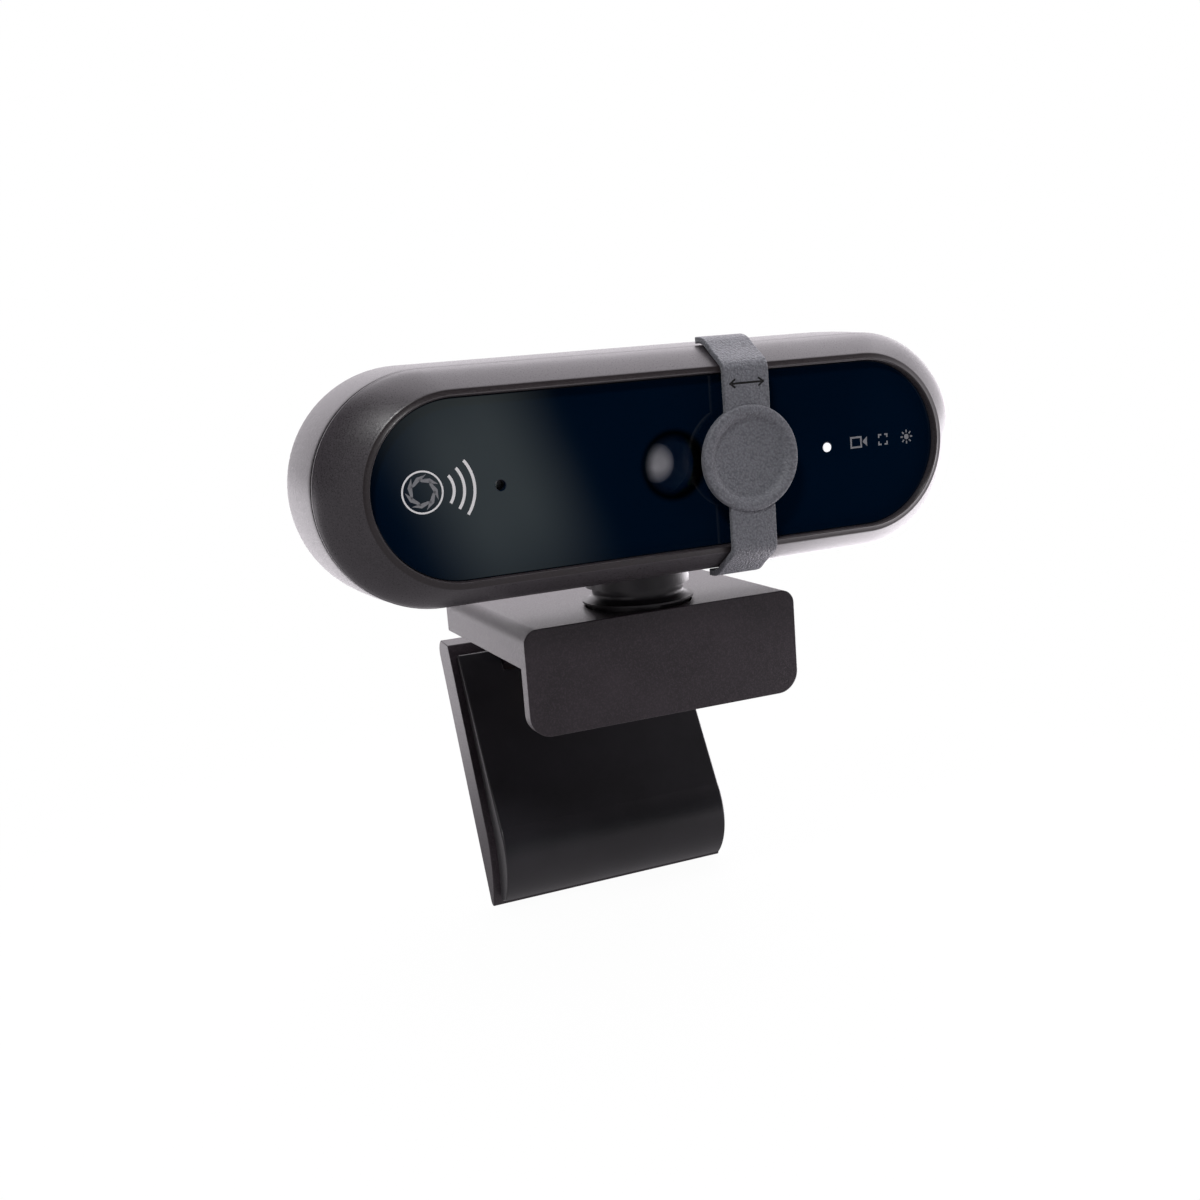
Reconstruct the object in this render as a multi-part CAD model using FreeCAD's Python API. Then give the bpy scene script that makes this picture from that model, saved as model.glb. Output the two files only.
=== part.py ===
"""Clip-on webcam: a pill-shaped camera head that tilts on a ball neck, pans on a monitor clip and
carries a sliding privacy cover.

Row frame, millimetres: +X to the camera's left-hand end as it looks out, -Y out of the lens, +Z up.
The origin is the centre of the tripod thread's mouth in the underside of the clip's top plate.
Each piece is one function that returns its solid in the row frame.
"""
import FreeCAD, Part
import math
import os

from FreeCAD import Vector as V

# ---- driving dimensions, millimetres -------------------------------------------------------------

# clip: top plate with the front lip
clip_w = 46.4            # width of plate and lip
plate_t = 6.2            # thickness of the plate
plate_rear = 15.5        # plate's rear face, behind the tripod thread
lip_front = -25.4        # lip's front face
lip_t = 2.4              # lip's thickness
lip_h = 16.8             # lip's height, from the plate's top down
clip_edge_r = 2.2        # rounding of the long top edges
lip_corner_r = 3.5       # rounding of the lip's lower corners
pad_t = 0.9              # rubber pads under the plate and behind the lip
pad_proud = 0.3          # how far a pad stands out of its pocket
insert_r = 4.4           # brass insert's outer radius
thread_r = 3.175         # quarter-inch tripod thread
insert_len = 5.0         # length of the insert

# leg hinge and leg
hinge_drop = 4.3         # hinge axis below the plate's underside
barrel_r = 3.0           # hinge knuckles
hinge_pin_r = 1.25
lug_in = 6.5             # plate lugs, from the middle plane
lug_w = 4.0
outer_knuckle_w = 2.4
hinge_gap = 0.12         # side play between knuckles and lugs
leg_w = 44.7
leg_lean = 22.8          # degrees the leg leans forward of straight down
leg_back = 9.1           # back face of the leg behind the hinge axis
leg_rim = 3.0            # front rim of the leg's shell behind the hinge axis
leg_top = 3.8            # leg's top end above the hinge axis, along the leg
leg_len = 44.5           # leg's toe below the hinge axis, along the leg
leg_pad_margin = 1.2     # shell seen beside the pad
leg_pad_bulge = 4.5      # pad's thickness at its fullest
shell_wall = 1.8
leg_side_wall = 3.75
leg_rib = 1.2            # ribs between the pockets inside the shell
leg_pocket_from = 7.0    # pockets' upper wall below the hinge axis, along the leg

# neck
neck_y = -16.0           # pan axis, ahead of the tripod thread
ball_r = 7.35
foot_r = 8.9             # flared foot
foot_t = 0.3             # thickness of the foot's edge
foot_gap = 0.6           # dark groove under the foot
recess_d = 1.3           # recess in the plate that takes the neck's base
spigot_r = 4.5
pan_screw_r = 1.5
pan_head_r = 3.2
stud_r = 1.5             # stud through the collar's slot, which holds head and neck together
tilt_limit = 10.0        # degrees each way
collar_wall = 1.0        # collar under the head, outside the ball's widest
collar_drop = 2.1        # collar's rim, and the ball's centre, below the head's underside
cup_wall = 1.5           # thickness of the collar's dome over the ball
collar_flange = 1.2      # thickness of the flange that rests on the saddle
running = 0.05           # radial clearance of turning fits
seat_gap = 0.1           # play between the ball and its seat

# head
head_z = 28.9            # centre of the head above the plate's underside
head_y = -27.0           # parting plane between bezel and rear housing
head_len = 105.0
seam_r = 16.96           # half height at the parting plane
rear_r = 17.5            # half height where the rear housing is fullest
rear_full = 13.5         # how far behind the parting plane that is
rear_round = 6.5         # rounding of the back edge
bezel_d = 6.6            # bezel's depth
ridge = 0.8              # straight band ahead of the parting line
bezel_front_r = 13.0     # half height of the bezel's front edge
bezel_front_half = 46.0  # half length of the bezel's front edge
wall = 1.7
seam_groove_w = 0.7      # groove at the parting line, in which the cover's beads run
seam_groove_d = 0.5
glass_r = 12.66
glass_half = 45.65       # half length of the glass
glass_set = 5.56         # glass face ahead of the parting plane
glass_t = 1.0
tape_t = 0.2
ledge_w = 1.46           # ledge under the glass, above and below the opening behind it
ledge_end_w = 9.65       # ledge at each end of that opening
ledge_back = 2.4         # ledge's back face ahead of the parting plane

# head, inside
lens_front = 1.1         # lens ring ahead of the parting plane
barrel_out_r = 5.2
thread_barrel_r = 5.0    # threaded part of the barrel, and the holder's bore
holder_base_t = 4.0
filter_t = 0.6
element_r = 3.0
mic_x = -27.0
led_x = 26.3
hole_r = 0.7             # sound hole and light pipe
board_t = 1.2
sensor_board_y = 11.0    # front face of the sensor board behind the parting plane
board_half_w = 36.0
board_half_h = 9.0
front_board_half_w = 33.0
front_board_half_h = 12.0
sensor_half = 3.6        # half width of the sensor's package
chip_x = 18.0            # middle of the image processor
chip_half = 4.0
header_w = 10.0          # lead's header
grommet_bore_r = 1.9
post_r = 2.4
board_screw_x = 31.0
board_screw_z = 6.5
bezel_screw_x = 39.5
bezel_screw_z = 5.5
grommet_z = 5.0

# privacy cover
cover_x = 11.45          # where it rests, beside the lens
cover_w = 7.5
cover_t = 1.0
cover_gap = 0.6          # air between the cover and the bezel's front edge
cover_disc_r = 7.9
cover_disc_proud = 0.45
cover_side_gap = 0.29    # air between the cover's arms and the ridge
bead_r = 0.3

# ---- worked-out places ---------------------------------------------------------------------------

plate_top = plate_t
clip_half = clip_w / 2
hinge_y = plate_rear
hinge_z = -hinge_drop
lean = math.radians(leg_lean)
head_half = head_len / 2
seam_a = head_half - seam_r
ledge_r = glass_r - ledge_w
ledge_half = glass_half - ledge_end_w
recess_floor = plate_top - recess_d
foot_low = plate_top + foot_gap
ball_z = head_z - rear_r - collar_drop
seat_r = ball_r + seat_gap
cup_r = seat_r + cup_wall
collar_r = ball_r + collar_wall
saddle_top = head_z - rear_r + 3.0
cover_in = bezel_d + cover_gap

X = V(1, 0, 0)
Y = V(0, 1, 0)
Z = V(0, 0, 1)


# ---- shape helpers -------------------------------------------------------------------------------

def box(x0, x1, y0, y1, z0, z1):
    return Part.makeBox(x1 - x0, y1 - y0, z1 - z0, V(x0, y0, z0))


def rod(radius, start, direction, length):
    return Part.makeCylinder(radius, length, start, direction)


def tube(outer, inner, start, direction, length):
    return rod(outer, start, direction, length).cut(rod(inner, start, direction, length))


def joined(shapes):
    whole = shapes[0].multiFuse(shapes[1:]) if len(shapes) > 1 else shapes[0]
    return whole.removeSplitter()


def stadium_wire(half, radius, y):
    """Pill outline of a half length and an end radius, in the plane at y of the head's own frame."""
    a = half - radius
    top = Part.LineSegment(V(-a, y, radius), V(a, y, radius)).toShape()
    right = Part.Arc(V(a, y, radius), V(half, y, 0), V(a, y, -radius)).toShape()
    low = Part.LineSegment(V(a, y, -radius), V(-a, y, -radius)).toShape()
    left = Part.Arc(V(-a, y, -radius), V(-half, y, 0), V(-a, y, radius)).toShape()
    return Part.Wire([top, right, low, left])


def stadium(half, radius, y0, y1):
    return Part.Face(stadium_wire(half, radius, y0)).extrude(V(0, y1 - y0, 0))


def pill(profile, a):
    """Solid of a half profile in Y and radius: straight between the ends and turned round them."""
    face = Part.Face(Part.Wire(profile))
    middle = face.translated(V(-a, 0, 0)).extrude(V(2 * a, 0, 0))
    right = face.translated(V(a, 0, 0)).revolve(V(a, 0, 0), Y, 180)
    left = face.translated(V(-a, 0, 0)).revolve(V(-a, 0, 0), Y, -180)
    return joined([middle, middle.mirror(V(0, 0, 0), Z), right, left])


def on_head(shape):
    """From the head's own frame, centred on the parting plane, to the row frame."""
    return shape.translated(V(0, head_y, head_z))


def leg_point(x, back, down):
    """Row-frame point from a leg place: behind the hinge axis and down along the leg."""
    return V(
        x,
        hinge_y + back * math.cos(lean) - down * math.sin(lean),
        hinge_z - back * math.sin(lean) - down * math.cos(lean),
    )


def leg_block(x0, x1, back0, back1, down0, down1):
    corners = [(back0, down0), (back1, down0), (back1, down1), (back0, down1)]
    ring = [leg_point(x0, b, d) for b, d in corners]
    return Part.Face(Part.makePolygon(ring + ring[:1])).extrude(V(x1 - x0, 0, 0))


def edges_along(shape, direction, test):
    """Straight edges parallel to a direction whose middle passes the test."""
    found = []
    for edge in shape.Edges:
        if edge.Curve.TypeId != "Part::GeomLine":
            continue
        run = (edge.Vertexes[-1].Point - edge.Vertexes[0].Point).normalize()
        if abs(abs(run.dot(direction)) - 1) < 1e-6 and test(edge.CenterOfMass):
            found.append(edge)
    return found


def screw(radius, head_r, head_t, length, seat, direction):
    """Machine screw with its head's underside centred on the seat and its shank along direction."""
    head = rod(head_r, seat - direction * head_t, direction, head_t)
    slot = rod(head_r * 0.4, seat - direction * head_t, direction, head_t * 0.5)
    return head.cut(slot).fuse(rod(radius, seat, direction, length)).removeSplitter()


# ---- clip ----------------------------------------------------------------------------------------

tripod_axis = V(0, 0, 0)
pan_axis = V(0, neck_y, 0)
rest_pad_y0 = lip_front + lip_t + 2.0
rest_pad_y1 = plate_rear - 5.0
screw_recess_r = 6.2
screw_recess_d = 2.6


def clip_bracket():
    """Top plate and front lip, one moulding, with two hinge lugs under its rear edge."""
    low = plate_top - lip_h
    lip_outline = box(-clip_half, clip_half, lip_front, lip_front + lip_t, low, plate_top)
    lip = lip_outline.makeFillet(
        lip_corner_r, edges_along(lip_outline, Y, lambda c: c.z < low + 0.1))
    plate = box(-clip_half, clip_half, lip_front, plate_rear, 0, plate_top)
    plate = plate.makeFillet(1.5, edges_along(plate, Z, lambda c: c.y > plate_rear - 0.1))
    body = joined([lip, plate])
    body = body.makeFillet(clip_edge_r, edges_along(body, Y, lambda c: c.z > plate_top - 0.1))
    lugs = []
    for x0 in (lug_in, -lug_in - lug_w):
        barrel = rod(barrel_r, V(x0, hinge_y, hinge_z), X, lug_w)
        web = box(x0, x0 + lug_w, hinge_y - barrel_r, hinge_y, hinge_z, 0.5)
        lugs.append(barrel.fuse(web))
    body = joined([body] + lugs)
    cuts = [
        rod(hinge_pin_r, V(-clip_half, hinge_y, hinge_z), X, clip_w),
        rod(insert_r, tripod_axis, Z, insert_len),
        rod(foot_r - 0.3, pan_axis + Z * recess_floor, Z, recess_d),
        rod(spigot_r + running, pan_axis, Z, plate_top),
        rod(screw_recess_r, pan_axis, Z, screw_recess_d),
        rest_pad_pocket(),
        lip_pad_pocket(),
    ]
    for cut in cuts:
        body = body.cut(cut)
    return body.removeSplitter()


def rest_pad_pocket():
    inset = 4.0
    depth = pad_t - pad_proud
    return box(-clip_half + inset, clip_half - inset, rest_pad_y0, rest_pad_y1, 0, depth)


def rest_pad():
    """Rubber pad under the plate, on which the clip sits on a screen's top edge."""
    pad = rest_pad_pocket().fuse(rest_pad_pocket().translated(V(0, 0, -pad_proud)))
    pad = pad.removeSplitter()
    pad = pad.makeFillet(2.0, edges_along(pad, Z, lambda c: True))
    pad = pad.cut(rod(insert_r + 1.2, tripod_axis - Z, Z, 3))
    return pad.cut(rod(screw_recess_r - 0.8, pan_axis - Z, Z, 3))


def lip_pad_pocket():
    inset = 4.0
    low = plate_top - lip_h
    back = lip_front + lip_t
    depth = pad_t - pad_proud
    return box(-clip_half + inset, clip_half - inset, back - depth, back, low + 3.0, -1.6)


def lip_pad():
    """Rubber strip behind the lip, against the front of the screen's frame."""
    pad = lip_pad_pocket().fuse(lip_pad_pocket().translated(V(0, pad_proud, 0))).removeSplitter()
    return pad.makeFillet(2.0, edges_along(pad, Y, lambda c: True))


def tripod_insert():
    """Brass insert with the tripod thread, pressed into the plate from below."""
    body = rod(insert_r, tripod_axis, Z, insert_len)
    return body.cut(rod(thread_r, tripod_axis, Z, insert_len - 0.8))


def pan_washer():
    """Nylon ring on which the neck turns."""
    return tube(foot_r - 0.6, spigot_r + 0.2, pan_axis + Z * recess_floor, Z, 0.4)


def spring_washer():
    """Domed steel washer that presses the neck on its ring."""
    low = pan_axis + Z * (screw_recess_d - 0.75)
    cone = Part.makeCone(screw_recess_r - 0.6, 4.2, 0.7, low, Z)
    hollow = Part.makeCone(screw_recess_r - 1.0, 3.8, 0.7, low - Z * 0.4, Z)
    return cone.cut(hollow).cut(rod(pan_screw_r + 0.15, pan_axis, Z, plate_top))


# ---- leg -----------------------------------------------------------------------------------------

knuckle_half = lug_in - hinge_gap
outer_in = lug_in + lug_w + hinge_gap
outer_out = outer_in + outer_knuckle_w
leg_half = leg_w / 2
pad_half = leg_half - leg_pad_margin
rim_curve_from = leg_len * 0.72
leg_pocket_w = (leg_w - 2 * leg_side_wall - 2 * leg_rib) / 3


def leg_shell():
    """Rear jaw: a moulded shell with a straight back, a curled toe and three hinge knuckles."""
    def at(back, down):
        return leg_point(-leg_half, back, down)

    corner_r = 2.4
    corner_sag = corner_r * (1 - math.sqrt(0.5))
    back_low = leg_len - 1.0
    rim_top = at(leg_rim, -leg_top * 0.5)
    corner_in = at(leg_back - corner_r, -leg_top)
    corner_mid = at(leg_back - corner_sag, -leg_top + corner_sag)
    corner_out = at(leg_back, -leg_top + corner_r)
    edges = [
        Part.LineSegment(rim_top, corner_in).toShape(),
        Part.Arc(corner_in, corner_mid, corner_out).toShape(),
        Part.LineSegment(corner_out, at(leg_back, back_low)).toShape(),
        Part.Arc(at(leg_back, back_low), at(leg_back - 0.3, leg_len - 0.3),
                 at(leg_back - 1.0, leg_len)).toShape(),
        Part.Arc(at(leg_back - 1.0, leg_len), at(leg_rim + 1.6, leg_len - 5.6),
                 at(leg_rim, rim_curve_from)).toShape(),
        Part.LineSegment(at(leg_rim, rim_curve_from), rim_top).toShape(),
    ]
    shell = Part.Face(Part.Wire(edges)).extrude(V(leg_w, 0, 0))
    for part in (-1, 0, 1):
        middle = part * (leg_pocket_w + leg_rib)
        pocket = leg_block(middle - leg_pocket_w / 2, middle + leg_pocket_w / 2, leg_rim - 1,
                           leg_back - shell_wall, leg_pocket_from, rim_curve_from - leg_rib)
        shell = shell.cut(pocket)
    knuckles = []
    for x0, x1 in ((-knuckle_half, knuckle_half), (outer_in, outer_out), (-outer_out, -outer_in)):
        barrel = rod(barrel_r, V(x0, hinge_y, hinge_z), X, x1 - x0)
        web = leg_block(x0, x1, 0, leg_rim + 0.5, -leg_top * 0.5, barrel_r)
        knuckles.append(barrel.fuse(web))
    shell = joined([shell] + knuckles)
    for x0 in (lug_in, -lug_in - lug_w):
        clear = rod(barrel_r + 0.4, V(x0 - hinge_gap, hinge_y, hinge_z), X, lug_w + 2 * hinge_gap)
        shell = shell.cut(clear)
    bore = rod(hinge_pin_r + running, V(-leg_half, hinge_y, hinge_z), X, leg_w)
    return shell.cut(bore).removeSplitter()


def leg_pad():
    """Rubber jaw pad on the leg's front, fullest above the toe and curling round it."""
    def at(back, down):
        return leg_point(-pad_half, back, down)

    front_top = leg_rim - 1.2
    front_full = leg_rim - leg_pad_bulge
    full_at = leg_len * 0.72
    toe_back = leg_rim + 3.4
    edges = [
        Part.LineSegment(at(leg_rim, 0.3), at(front_top, 0.3)).toShape(),
        Part.Arc(at(front_top, 0.3), at(front_full + 1.45, full_at * 0.55),
                 at(front_full, full_at)).toShape(),
        Part.Arc(at(front_full, full_at), at(front_full + 1.7, leg_len - 4.0),
                 at(toe_back - 1.6, leg_len - 0.4)).toShape(),
        Part.LineSegment(at(toe_back - 1.6, leg_len - 0.4), at(toe_back, leg_len - 0.5)).toShape(),
        Part.LineSegment(at(toe_back, leg_len - 0.5), at(toe_back, rim_curve_from)).toShape(),
        Part.LineSegment(at(toe_back, rim_curve_from), at(leg_rim, rim_curve_from)).toShape(),
        Part.LineSegment(at(leg_rim, rim_curve_from), at(leg_rim, 0.3)).toShape(),
    ]
    pad = Part.Face(Part.Wire(edges)).extrude(V(2 * pad_half, 0, 0))
    notch = leg_block(-outer_out - 0.4, outer_out + 0.4, leg_rim - leg_pad_bulge - 1, leg_back,
                      -1, barrel_r + 1.3)
    return pad.cut(notch).cut(leg_shell())


def hinge_pin():
    """Steel pin through lugs and knuckles."""
    length = 2 * outer_out - 0.6
    return rod(hinge_pin_r, V(-length / 2, hinge_y, hinge_z), X, length)


# ---- neck ----------------------------------------------------------------------------------------

neck_base_z = recess_floor + 0.45
stud_low = ball_z + 2.0
clamp_r = 5.0
clamp_t = 0.9
nut_h = 2.0
nut_r = 3.0              # across the nut's corners, halved


def neck_ball():
    """Glossy neck: a ball with a flared foot, a base in the plate's recess and a spigot through it."""
    under = 1.5
    waist = V(math.sqrt(ball_r ** 2 - under ** 2), 0, ball_z - under)
    foot_top = V(foot_r, 0, foot_low + foot_t)
    corners = [
        V(0, 0, recess_floor - 2.3),
        V(spigot_r, 0, recess_floor - 2.3),
        V(spigot_r, 0, neck_base_z),
        V(foot_r - 0.6, 0, neck_base_z),
        V(foot_r - 0.6, 0, foot_low),
        V(foot_r, 0, foot_low),
        foot_top,
    ]
    edges = [Part.LineSegment(a, b).toShape() for a, b in zip(corners, corners[1:])]
    flare = V((waist.x + foot_r) / 2 - 0.3, 0, (waist.z + foot_top.z) / 2 - 0.08)
    slant = math.sqrt(0.5) * ball_r
    pole = V(0, 0, ball_z + ball_r)
    edges.append(Part.Arc(foot_top, flare, waist).toShape())
    edges.append(Part.Arc(waist, V(slant, 0, ball_z + slant), pole).toShape())
    edges.append(Part.LineSegment(pole, corners[0]).toShape())
    neck = Part.Face(Part.Wire(edges)).revolve(V(0, 0, 0), Z, 360)
    neck = neck.cut(rod(pan_screw_r, V(0, 0, 0), Z, ball_z))
    neck = neck.cut(rod(stud_r, V(0, 0, stud_low), Z, ball_r))
    return neck.translated(pan_axis)


def pan_screw():
    """Screw from below that holds the neck down through the spring washer."""
    seat = pan_axis + Z * (screw_recess_d - 0.8)
    return screw(pan_screw_r, pan_head_r, 1.5, ball_z - screw_recess_d, seat, Z)


def dome_cap(inner, outer, width):
    """Round cap of a thick sphere about the ball's centre, with a hole for the stud."""
    centre = V(0, neck_y, ball_z)
    cap = Part.makeSphere(outer, centre).cut(Part.makeSphere(inner, centre))
    cap = cap.common(rod(width, centre, Z, outer + 1))
    return cap.cut(rod(stud_r, centre, Z, outer + 1))


def clamp_cap():
    """Domed steel cap that slides on the collar's dome as the head tilts."""
    return dome_cap(cup_r + running, cup_r + running + clamp_t, clamp_r)


def clamp_spring():
    """Spring ring between the cap and the nut."""
    low = ball_z + cup_r + running + clamp_t
    return tube(3.0, stud_r, V(0, neck_y, low), Z, 0.8)


def clamp_nut():
    """Lock nut on the stud."""
    low = ball_z + cup_r + running + clamp_t + 0.8
    corners = []
    for i in range(7):
        turn = math.radians(60 * i)
        corners.append(V(nut_r * math.cos(turn), nut_r * math.sin(turn), 0))
    nut = Part.Face(Part.makePolygon(corners)).extrude(Z * nut_h).translated(V(0, neck_y, low))
    return nut.cut(rod(stud_r, V(0, neck_y, low), Z, nut_h))


def tilt_stud():
    """Steel stud from the ball up through the collar's slot."""
    top = ball_z + cup_r + running + clamp_t + 0.8 + nut_h + 0.3
    return rod(stud_r, V(0, neck_y, stud_low), Z, top - stud_low)


# ---- head: shells --------------------------------------------------------------------------------

def bezel_section(t):
    """Half length, half height and depth of the bezel's outside, from the ridge at 0 to the front at 1."""
    crown = 1 - t ** 1.35
    half = bezel_front_half + (head_half - bezel_front_half) * crown
    radius = bezel_front_r + (seam_r - bezel_front_r) * crown
    return half, radius, -ridge - (bezel_d - ridge) * t


def seam_groove():
    outer = stadium(head_half + 1, seam_r + 1, -seam_groove_w / 2, seam_groove_w / 2)
    inner = stadium(head_half - seam_groove_d, seam_r - seam_groove_d,
                    -seam_groove_w / 2, seam_groove_w / 2)
    return outer.cut(inner)


def front_bezel():
    """Front frame: convex outside, a pocket for the glass and end webs that take the screws."""
    band = stadium(head_half, seam_r, -ridge, 0)
    stations = 6
    wires = [stadium_wire(*bezel_section(i / stations)) for i in range(stations + 1)]
    body = joined([band, Part.makeLoft(wires, True, False)])
    cavity_r = seam_r - wall - 0.9
    cavity_half = head_half - wall - 0.9
    cuts = [
        stadium(cavity_half, cavity_r, -ledge_back, 0),
        stadium(ledge_half, ledge_r, -bezel_d, 0),
        stadium(glass_half + 0.08, glass_r + 0.08, -bezel_d - 1, -glass_set + glass_t + tape_t),
        seam_groove(),
    ]
    for cut in cuts:
        body = body.cut(cut)
    rim = Part.makeLoft([
        stadium_wire(glass_half + 0.34, glass_r + 0.34, -bezel_d - 0.3),
        stadium_wire(glass_half + 0.08, glass_r + 0.08, -glass_set - 0.3)], True, True)
    body = body.cut(rim)
    for x, z in four(bezel_screw_x, bezel_screw_z):
        body = body.cut(rod(1.15, V(x, -bezel_d, z), Y, bezel_d))
    return on_head(body.removeSplitter())


def four(x, z):
    return [(x, z), (x, -z), (-x, z), (-x, -z)]


def rear_profile(inset):
    """Half profile of the rear housing, a wall's thickness inside its outside."""
    front_r = seam_r - inset
    full_r = rear_r - inset
    round_r = rear_round - inset
    back = rear_full + round_r
    turn = math.sqrt(0.5) * round_r
    corner = full_r - round_r
    return [
        Part.LineSegment(V(0, 0, 0), V(0, 0, front_r)).toShape(),
        Part.Arc(V(0, 0, front_r), V(0, rear_full * 0.5, (front_r + full_r) / 2 + 0.12),
                 V(0, rear_full, full_r)).toShape(),
        Part.Arc(V(0, rear_full, full_r), V(0, rear_full + turn, corner + turn),
                 V(0, back, corner)).toShape(),
        Part.LineSegment(V(0, back, corner), V(0, back, 0)).toShape(),
        Part.LineSegment(V(0, back, 0), V(0, 0, 0)).toShape(),
    ]


def under_head(radius, z0, z1):
    """Upright rod on the pan axis, in the head's own frame."""
    return rod(radius, V(0, neck_y - head_y, z0), Z, z1 - z0)


def rear_housing():
    """Rear shell with a spigot into the bezel, posts for the board and the screws, and a saddle."""
    outer = pill(rear_profile(0), seam_a)
    cavity = pill(rear_profile(wall), seam_a)
    spigot_half = head_half - wall - 1.0
    spigot_out_r = seam_r - wall - 1.0
    spigot_bore = stadium(spigot_half - 1.0, spigot_out_r - 1.0, -1.4, 1.2)
    spigot = stadium(spigot_half, spigot_out_r, -1.4, 1.2).cut(spigot_bore)
    step = stadium(head_half - 0.6, seam_r - 0.6, 0.5, 1.2).cut(spigot_bore)
    back = rear_full + rear_round
    board_back = sensor_board_y + board_t
    neck_local = neck_y - head_y
    saddle_z = saddle_top - head_z
    inside = [rod(post_r, V(x, board_back, z), Y, back - board_back)
              for x, z in four(board_screw_x, board_screw_z)]
    inside += [rod(post_r, V(x, 0.5, z), Y, back)
               for x, z in four(bezel_screw_x, bezel_screw_z)]
    inside.append(under_head(collar_r + 1.4, -rear_r - 1, saddle_z))
    inside.append(box(-collar_ear - 1, collar_ear + 1, neck_local - 3.6, neck_local + 3.6,
                      -rear_r - 1, saddle_z))
    body = joined([outer.cut(cavity)] + [piece.common(outer) for piece in inside])
    fronts = [rod(post_r, V(x, -ledge_back, z), Y, ledge_back + 1)
              for x, z in four(bezel_screw_x, bezel_screw_z)]
    body = joined([body, spigot, step] + fronts)
    body = body.cut(seam_groove())
    body = body.cut(under_head(collar_r + running, -rear_r - 2, saddle_z + collar_flange + running))
    dome_room = Part.makeSphere(cup_r + running, V(0, neck_local, ball_z - head_z))
    body = body.cut(dome_room.common(under_head(cup_r + 1, saddle_z + collar_flange, rear_r)))
    for x, z in four(board_screw_x, board_screw_z):
        body = body.cut(rod(0.8, V(x, board_back - 1, z), Y, 5.0))
    for x, z in four(bezel_screw_x, bezel_screw_z):
        body = body.cut(rod(0.8, V(x, -ledge_back - 1, z), Y, 9.0))
    for side in (-1, 1):
        hole = V(side * collar_screw_x, neck_local, saddle_z - 2.2)
        body = body.cut(rod(0.8, hole, Z, 3))
    body = body.cut(rod(3.2, V(0, back - 4, grommet_z), Y, 6))
    return on_head(body.removeSplitter())


def bezel_screws():
    """Four screws under the glass, through the bezel's webs into the rear housing's posts."""
    seat_y = -glass_set + glass_t + tape_t + 0.95
    screws = [screw(0.8, 1.1, 0.9, 6.5, V(x, seat_y, z), Y)
              for x, z in four(bezel_screw_x, bezel_screw_z)]
    return on_head(Part.makeCompound(screws))


# ---- head: window --------------------------------------------------------------------------------

def front_glass():
    """Dark glass with the sound hole and the light pipe's hole."""
    glass = stadium(glass_half, glass_r, -glass_set, -glass_set + glass_t)
    front = [e for e in glass.Edges if abs(e.BoundBox.YMax + glass_set) < 1e-6
             and abs(e.BoundBox.YMin + glass_set) < 1e-6]
    glass = glass.makeChamfer(0.12, front)
    for x in (mic_x, led_x):
        glass = glass.cut(rod(hole_r + 0.03, V(x, -bezel_d, 0), Y, 3))
    return on_head(glass)


def glass_tape():
    """Adhesive ring that holds the glass on the bezel's ledge."""
    y0 = -glass_set + glass_t
    tape = stadium(glass_half - 0.5, glass_r - 0.3, y0, y0 + tape_t)
    tape = tape.cut(stadium(ledge_half, ledge_r, y0, y0 + tape_t))
    for x, z in four(bezel_screw_x, bezel_screw_z):
        tape = tape.cut(rod(1.3, V(x, y0, z), Y, tape_t))
    return on_head(tape)


# ---- head: electronics ---------------------------------------------------------------------------

def front_board():
    """Small board behind the ledge with the microphone and the indicator, open round the lens."""
    board = box(-front_board_half_w, front_board_half_w, -ledge_back, -ledge_back + 1.0,
                -front_board_half_h, front_board_half_h)
    board = board.cut(rod(barrel_out_r + 1.6, V(0, -ledge_back, 0), Y, 1.0))
    return on_head(board)


def microphone():
    """Metal-can microphone on the front board."""
    half_w = 1.9
    half_h = 1.5
    return on_head(box(mic_x - half_w, mic_x + half_w, -ledge_back - 1.0, -ledge_back,
                       -half_h, half_h))


def microphone_boot():
    """Rubber boot that seals the microphone to the glass round its sound hole."""
    y0 = -glass_set + glass_t
    length = -ledge_back - 1.0 - y0
    return on_head(tube(2.4, hole_r + 0.1, V(mic_x, y0, 0), Y, length))


def status_led():
    """Indicator lamp on the front board."""
    half_w = 1.0
    half_h = 0.65
    return on_head(box(led_x - half_w, led_x + half_w, -ledge_back - 0.7, -ledge_back,
                       -half_h, half_h))


def light_pipe():
    """Clear pipe from the indicator to the glass's face."""
    y0 = -glass_set
    tip = rod(hole_r, V(led_x, y0, 0), Y, 1.2)
    flange_y = -glass_set + glass_t
    flange = rod(1.5, V(led_x, flange_y, 0), Y, -ledge_back - 0.7 - flange_y)
    return on_head(tip.fuse(flange).removeSplitter())


def sensor_board():
    """Main board with the image sensor, notched over the neck's ball."""
    board = box(-board_half_w, board_half_w, sensor_board_y, sensor_board_y + board_t,
                -board_half_h, board_half_h)
    notch_top = ball_z + cup_r + clamp_t + nut_h + 1.7 - head_z
    board = board.cut(box(-clamp_r - 1.5, clamp_r + 1.5, sensor_board_y, sensor_board_y + board_t,
                          -board_half_h - 1, notch_top))
    for x, z in four(board_screw_x, board_screw_z):
        board = board.cut(rod(1.0, V(x, sensor_board_y, z), Y, board_t))
    return on_head(board)


def board_screws():
    """Four screws that hold the main board on its posts."""
    screws = [screw(0.8, 1.6, 1.0, 4.5, V(x, sensor_board_y, z), Y)
              for x, z in four(board_screw_x, board_screw_z)]
    return on_head(Part.makeCompound(screws))


def image_sensor():
    """Sensor package under the lens."""
    thickness = 0.9
    return on_head(box(-sensor_half, sensor_half, sensor_board_y - thickness, sensor_board_y,
                       -sensor_half, sensor_half))


def video_chip():
    """Image processor on the main board."""
    thickness = 1.0
    return on_head(box(chip_x - chip_half, chip_x + chip_half, sensor_board_y - thickness,
                       sensor_board_y, -chip_half, chip_half))


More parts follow.
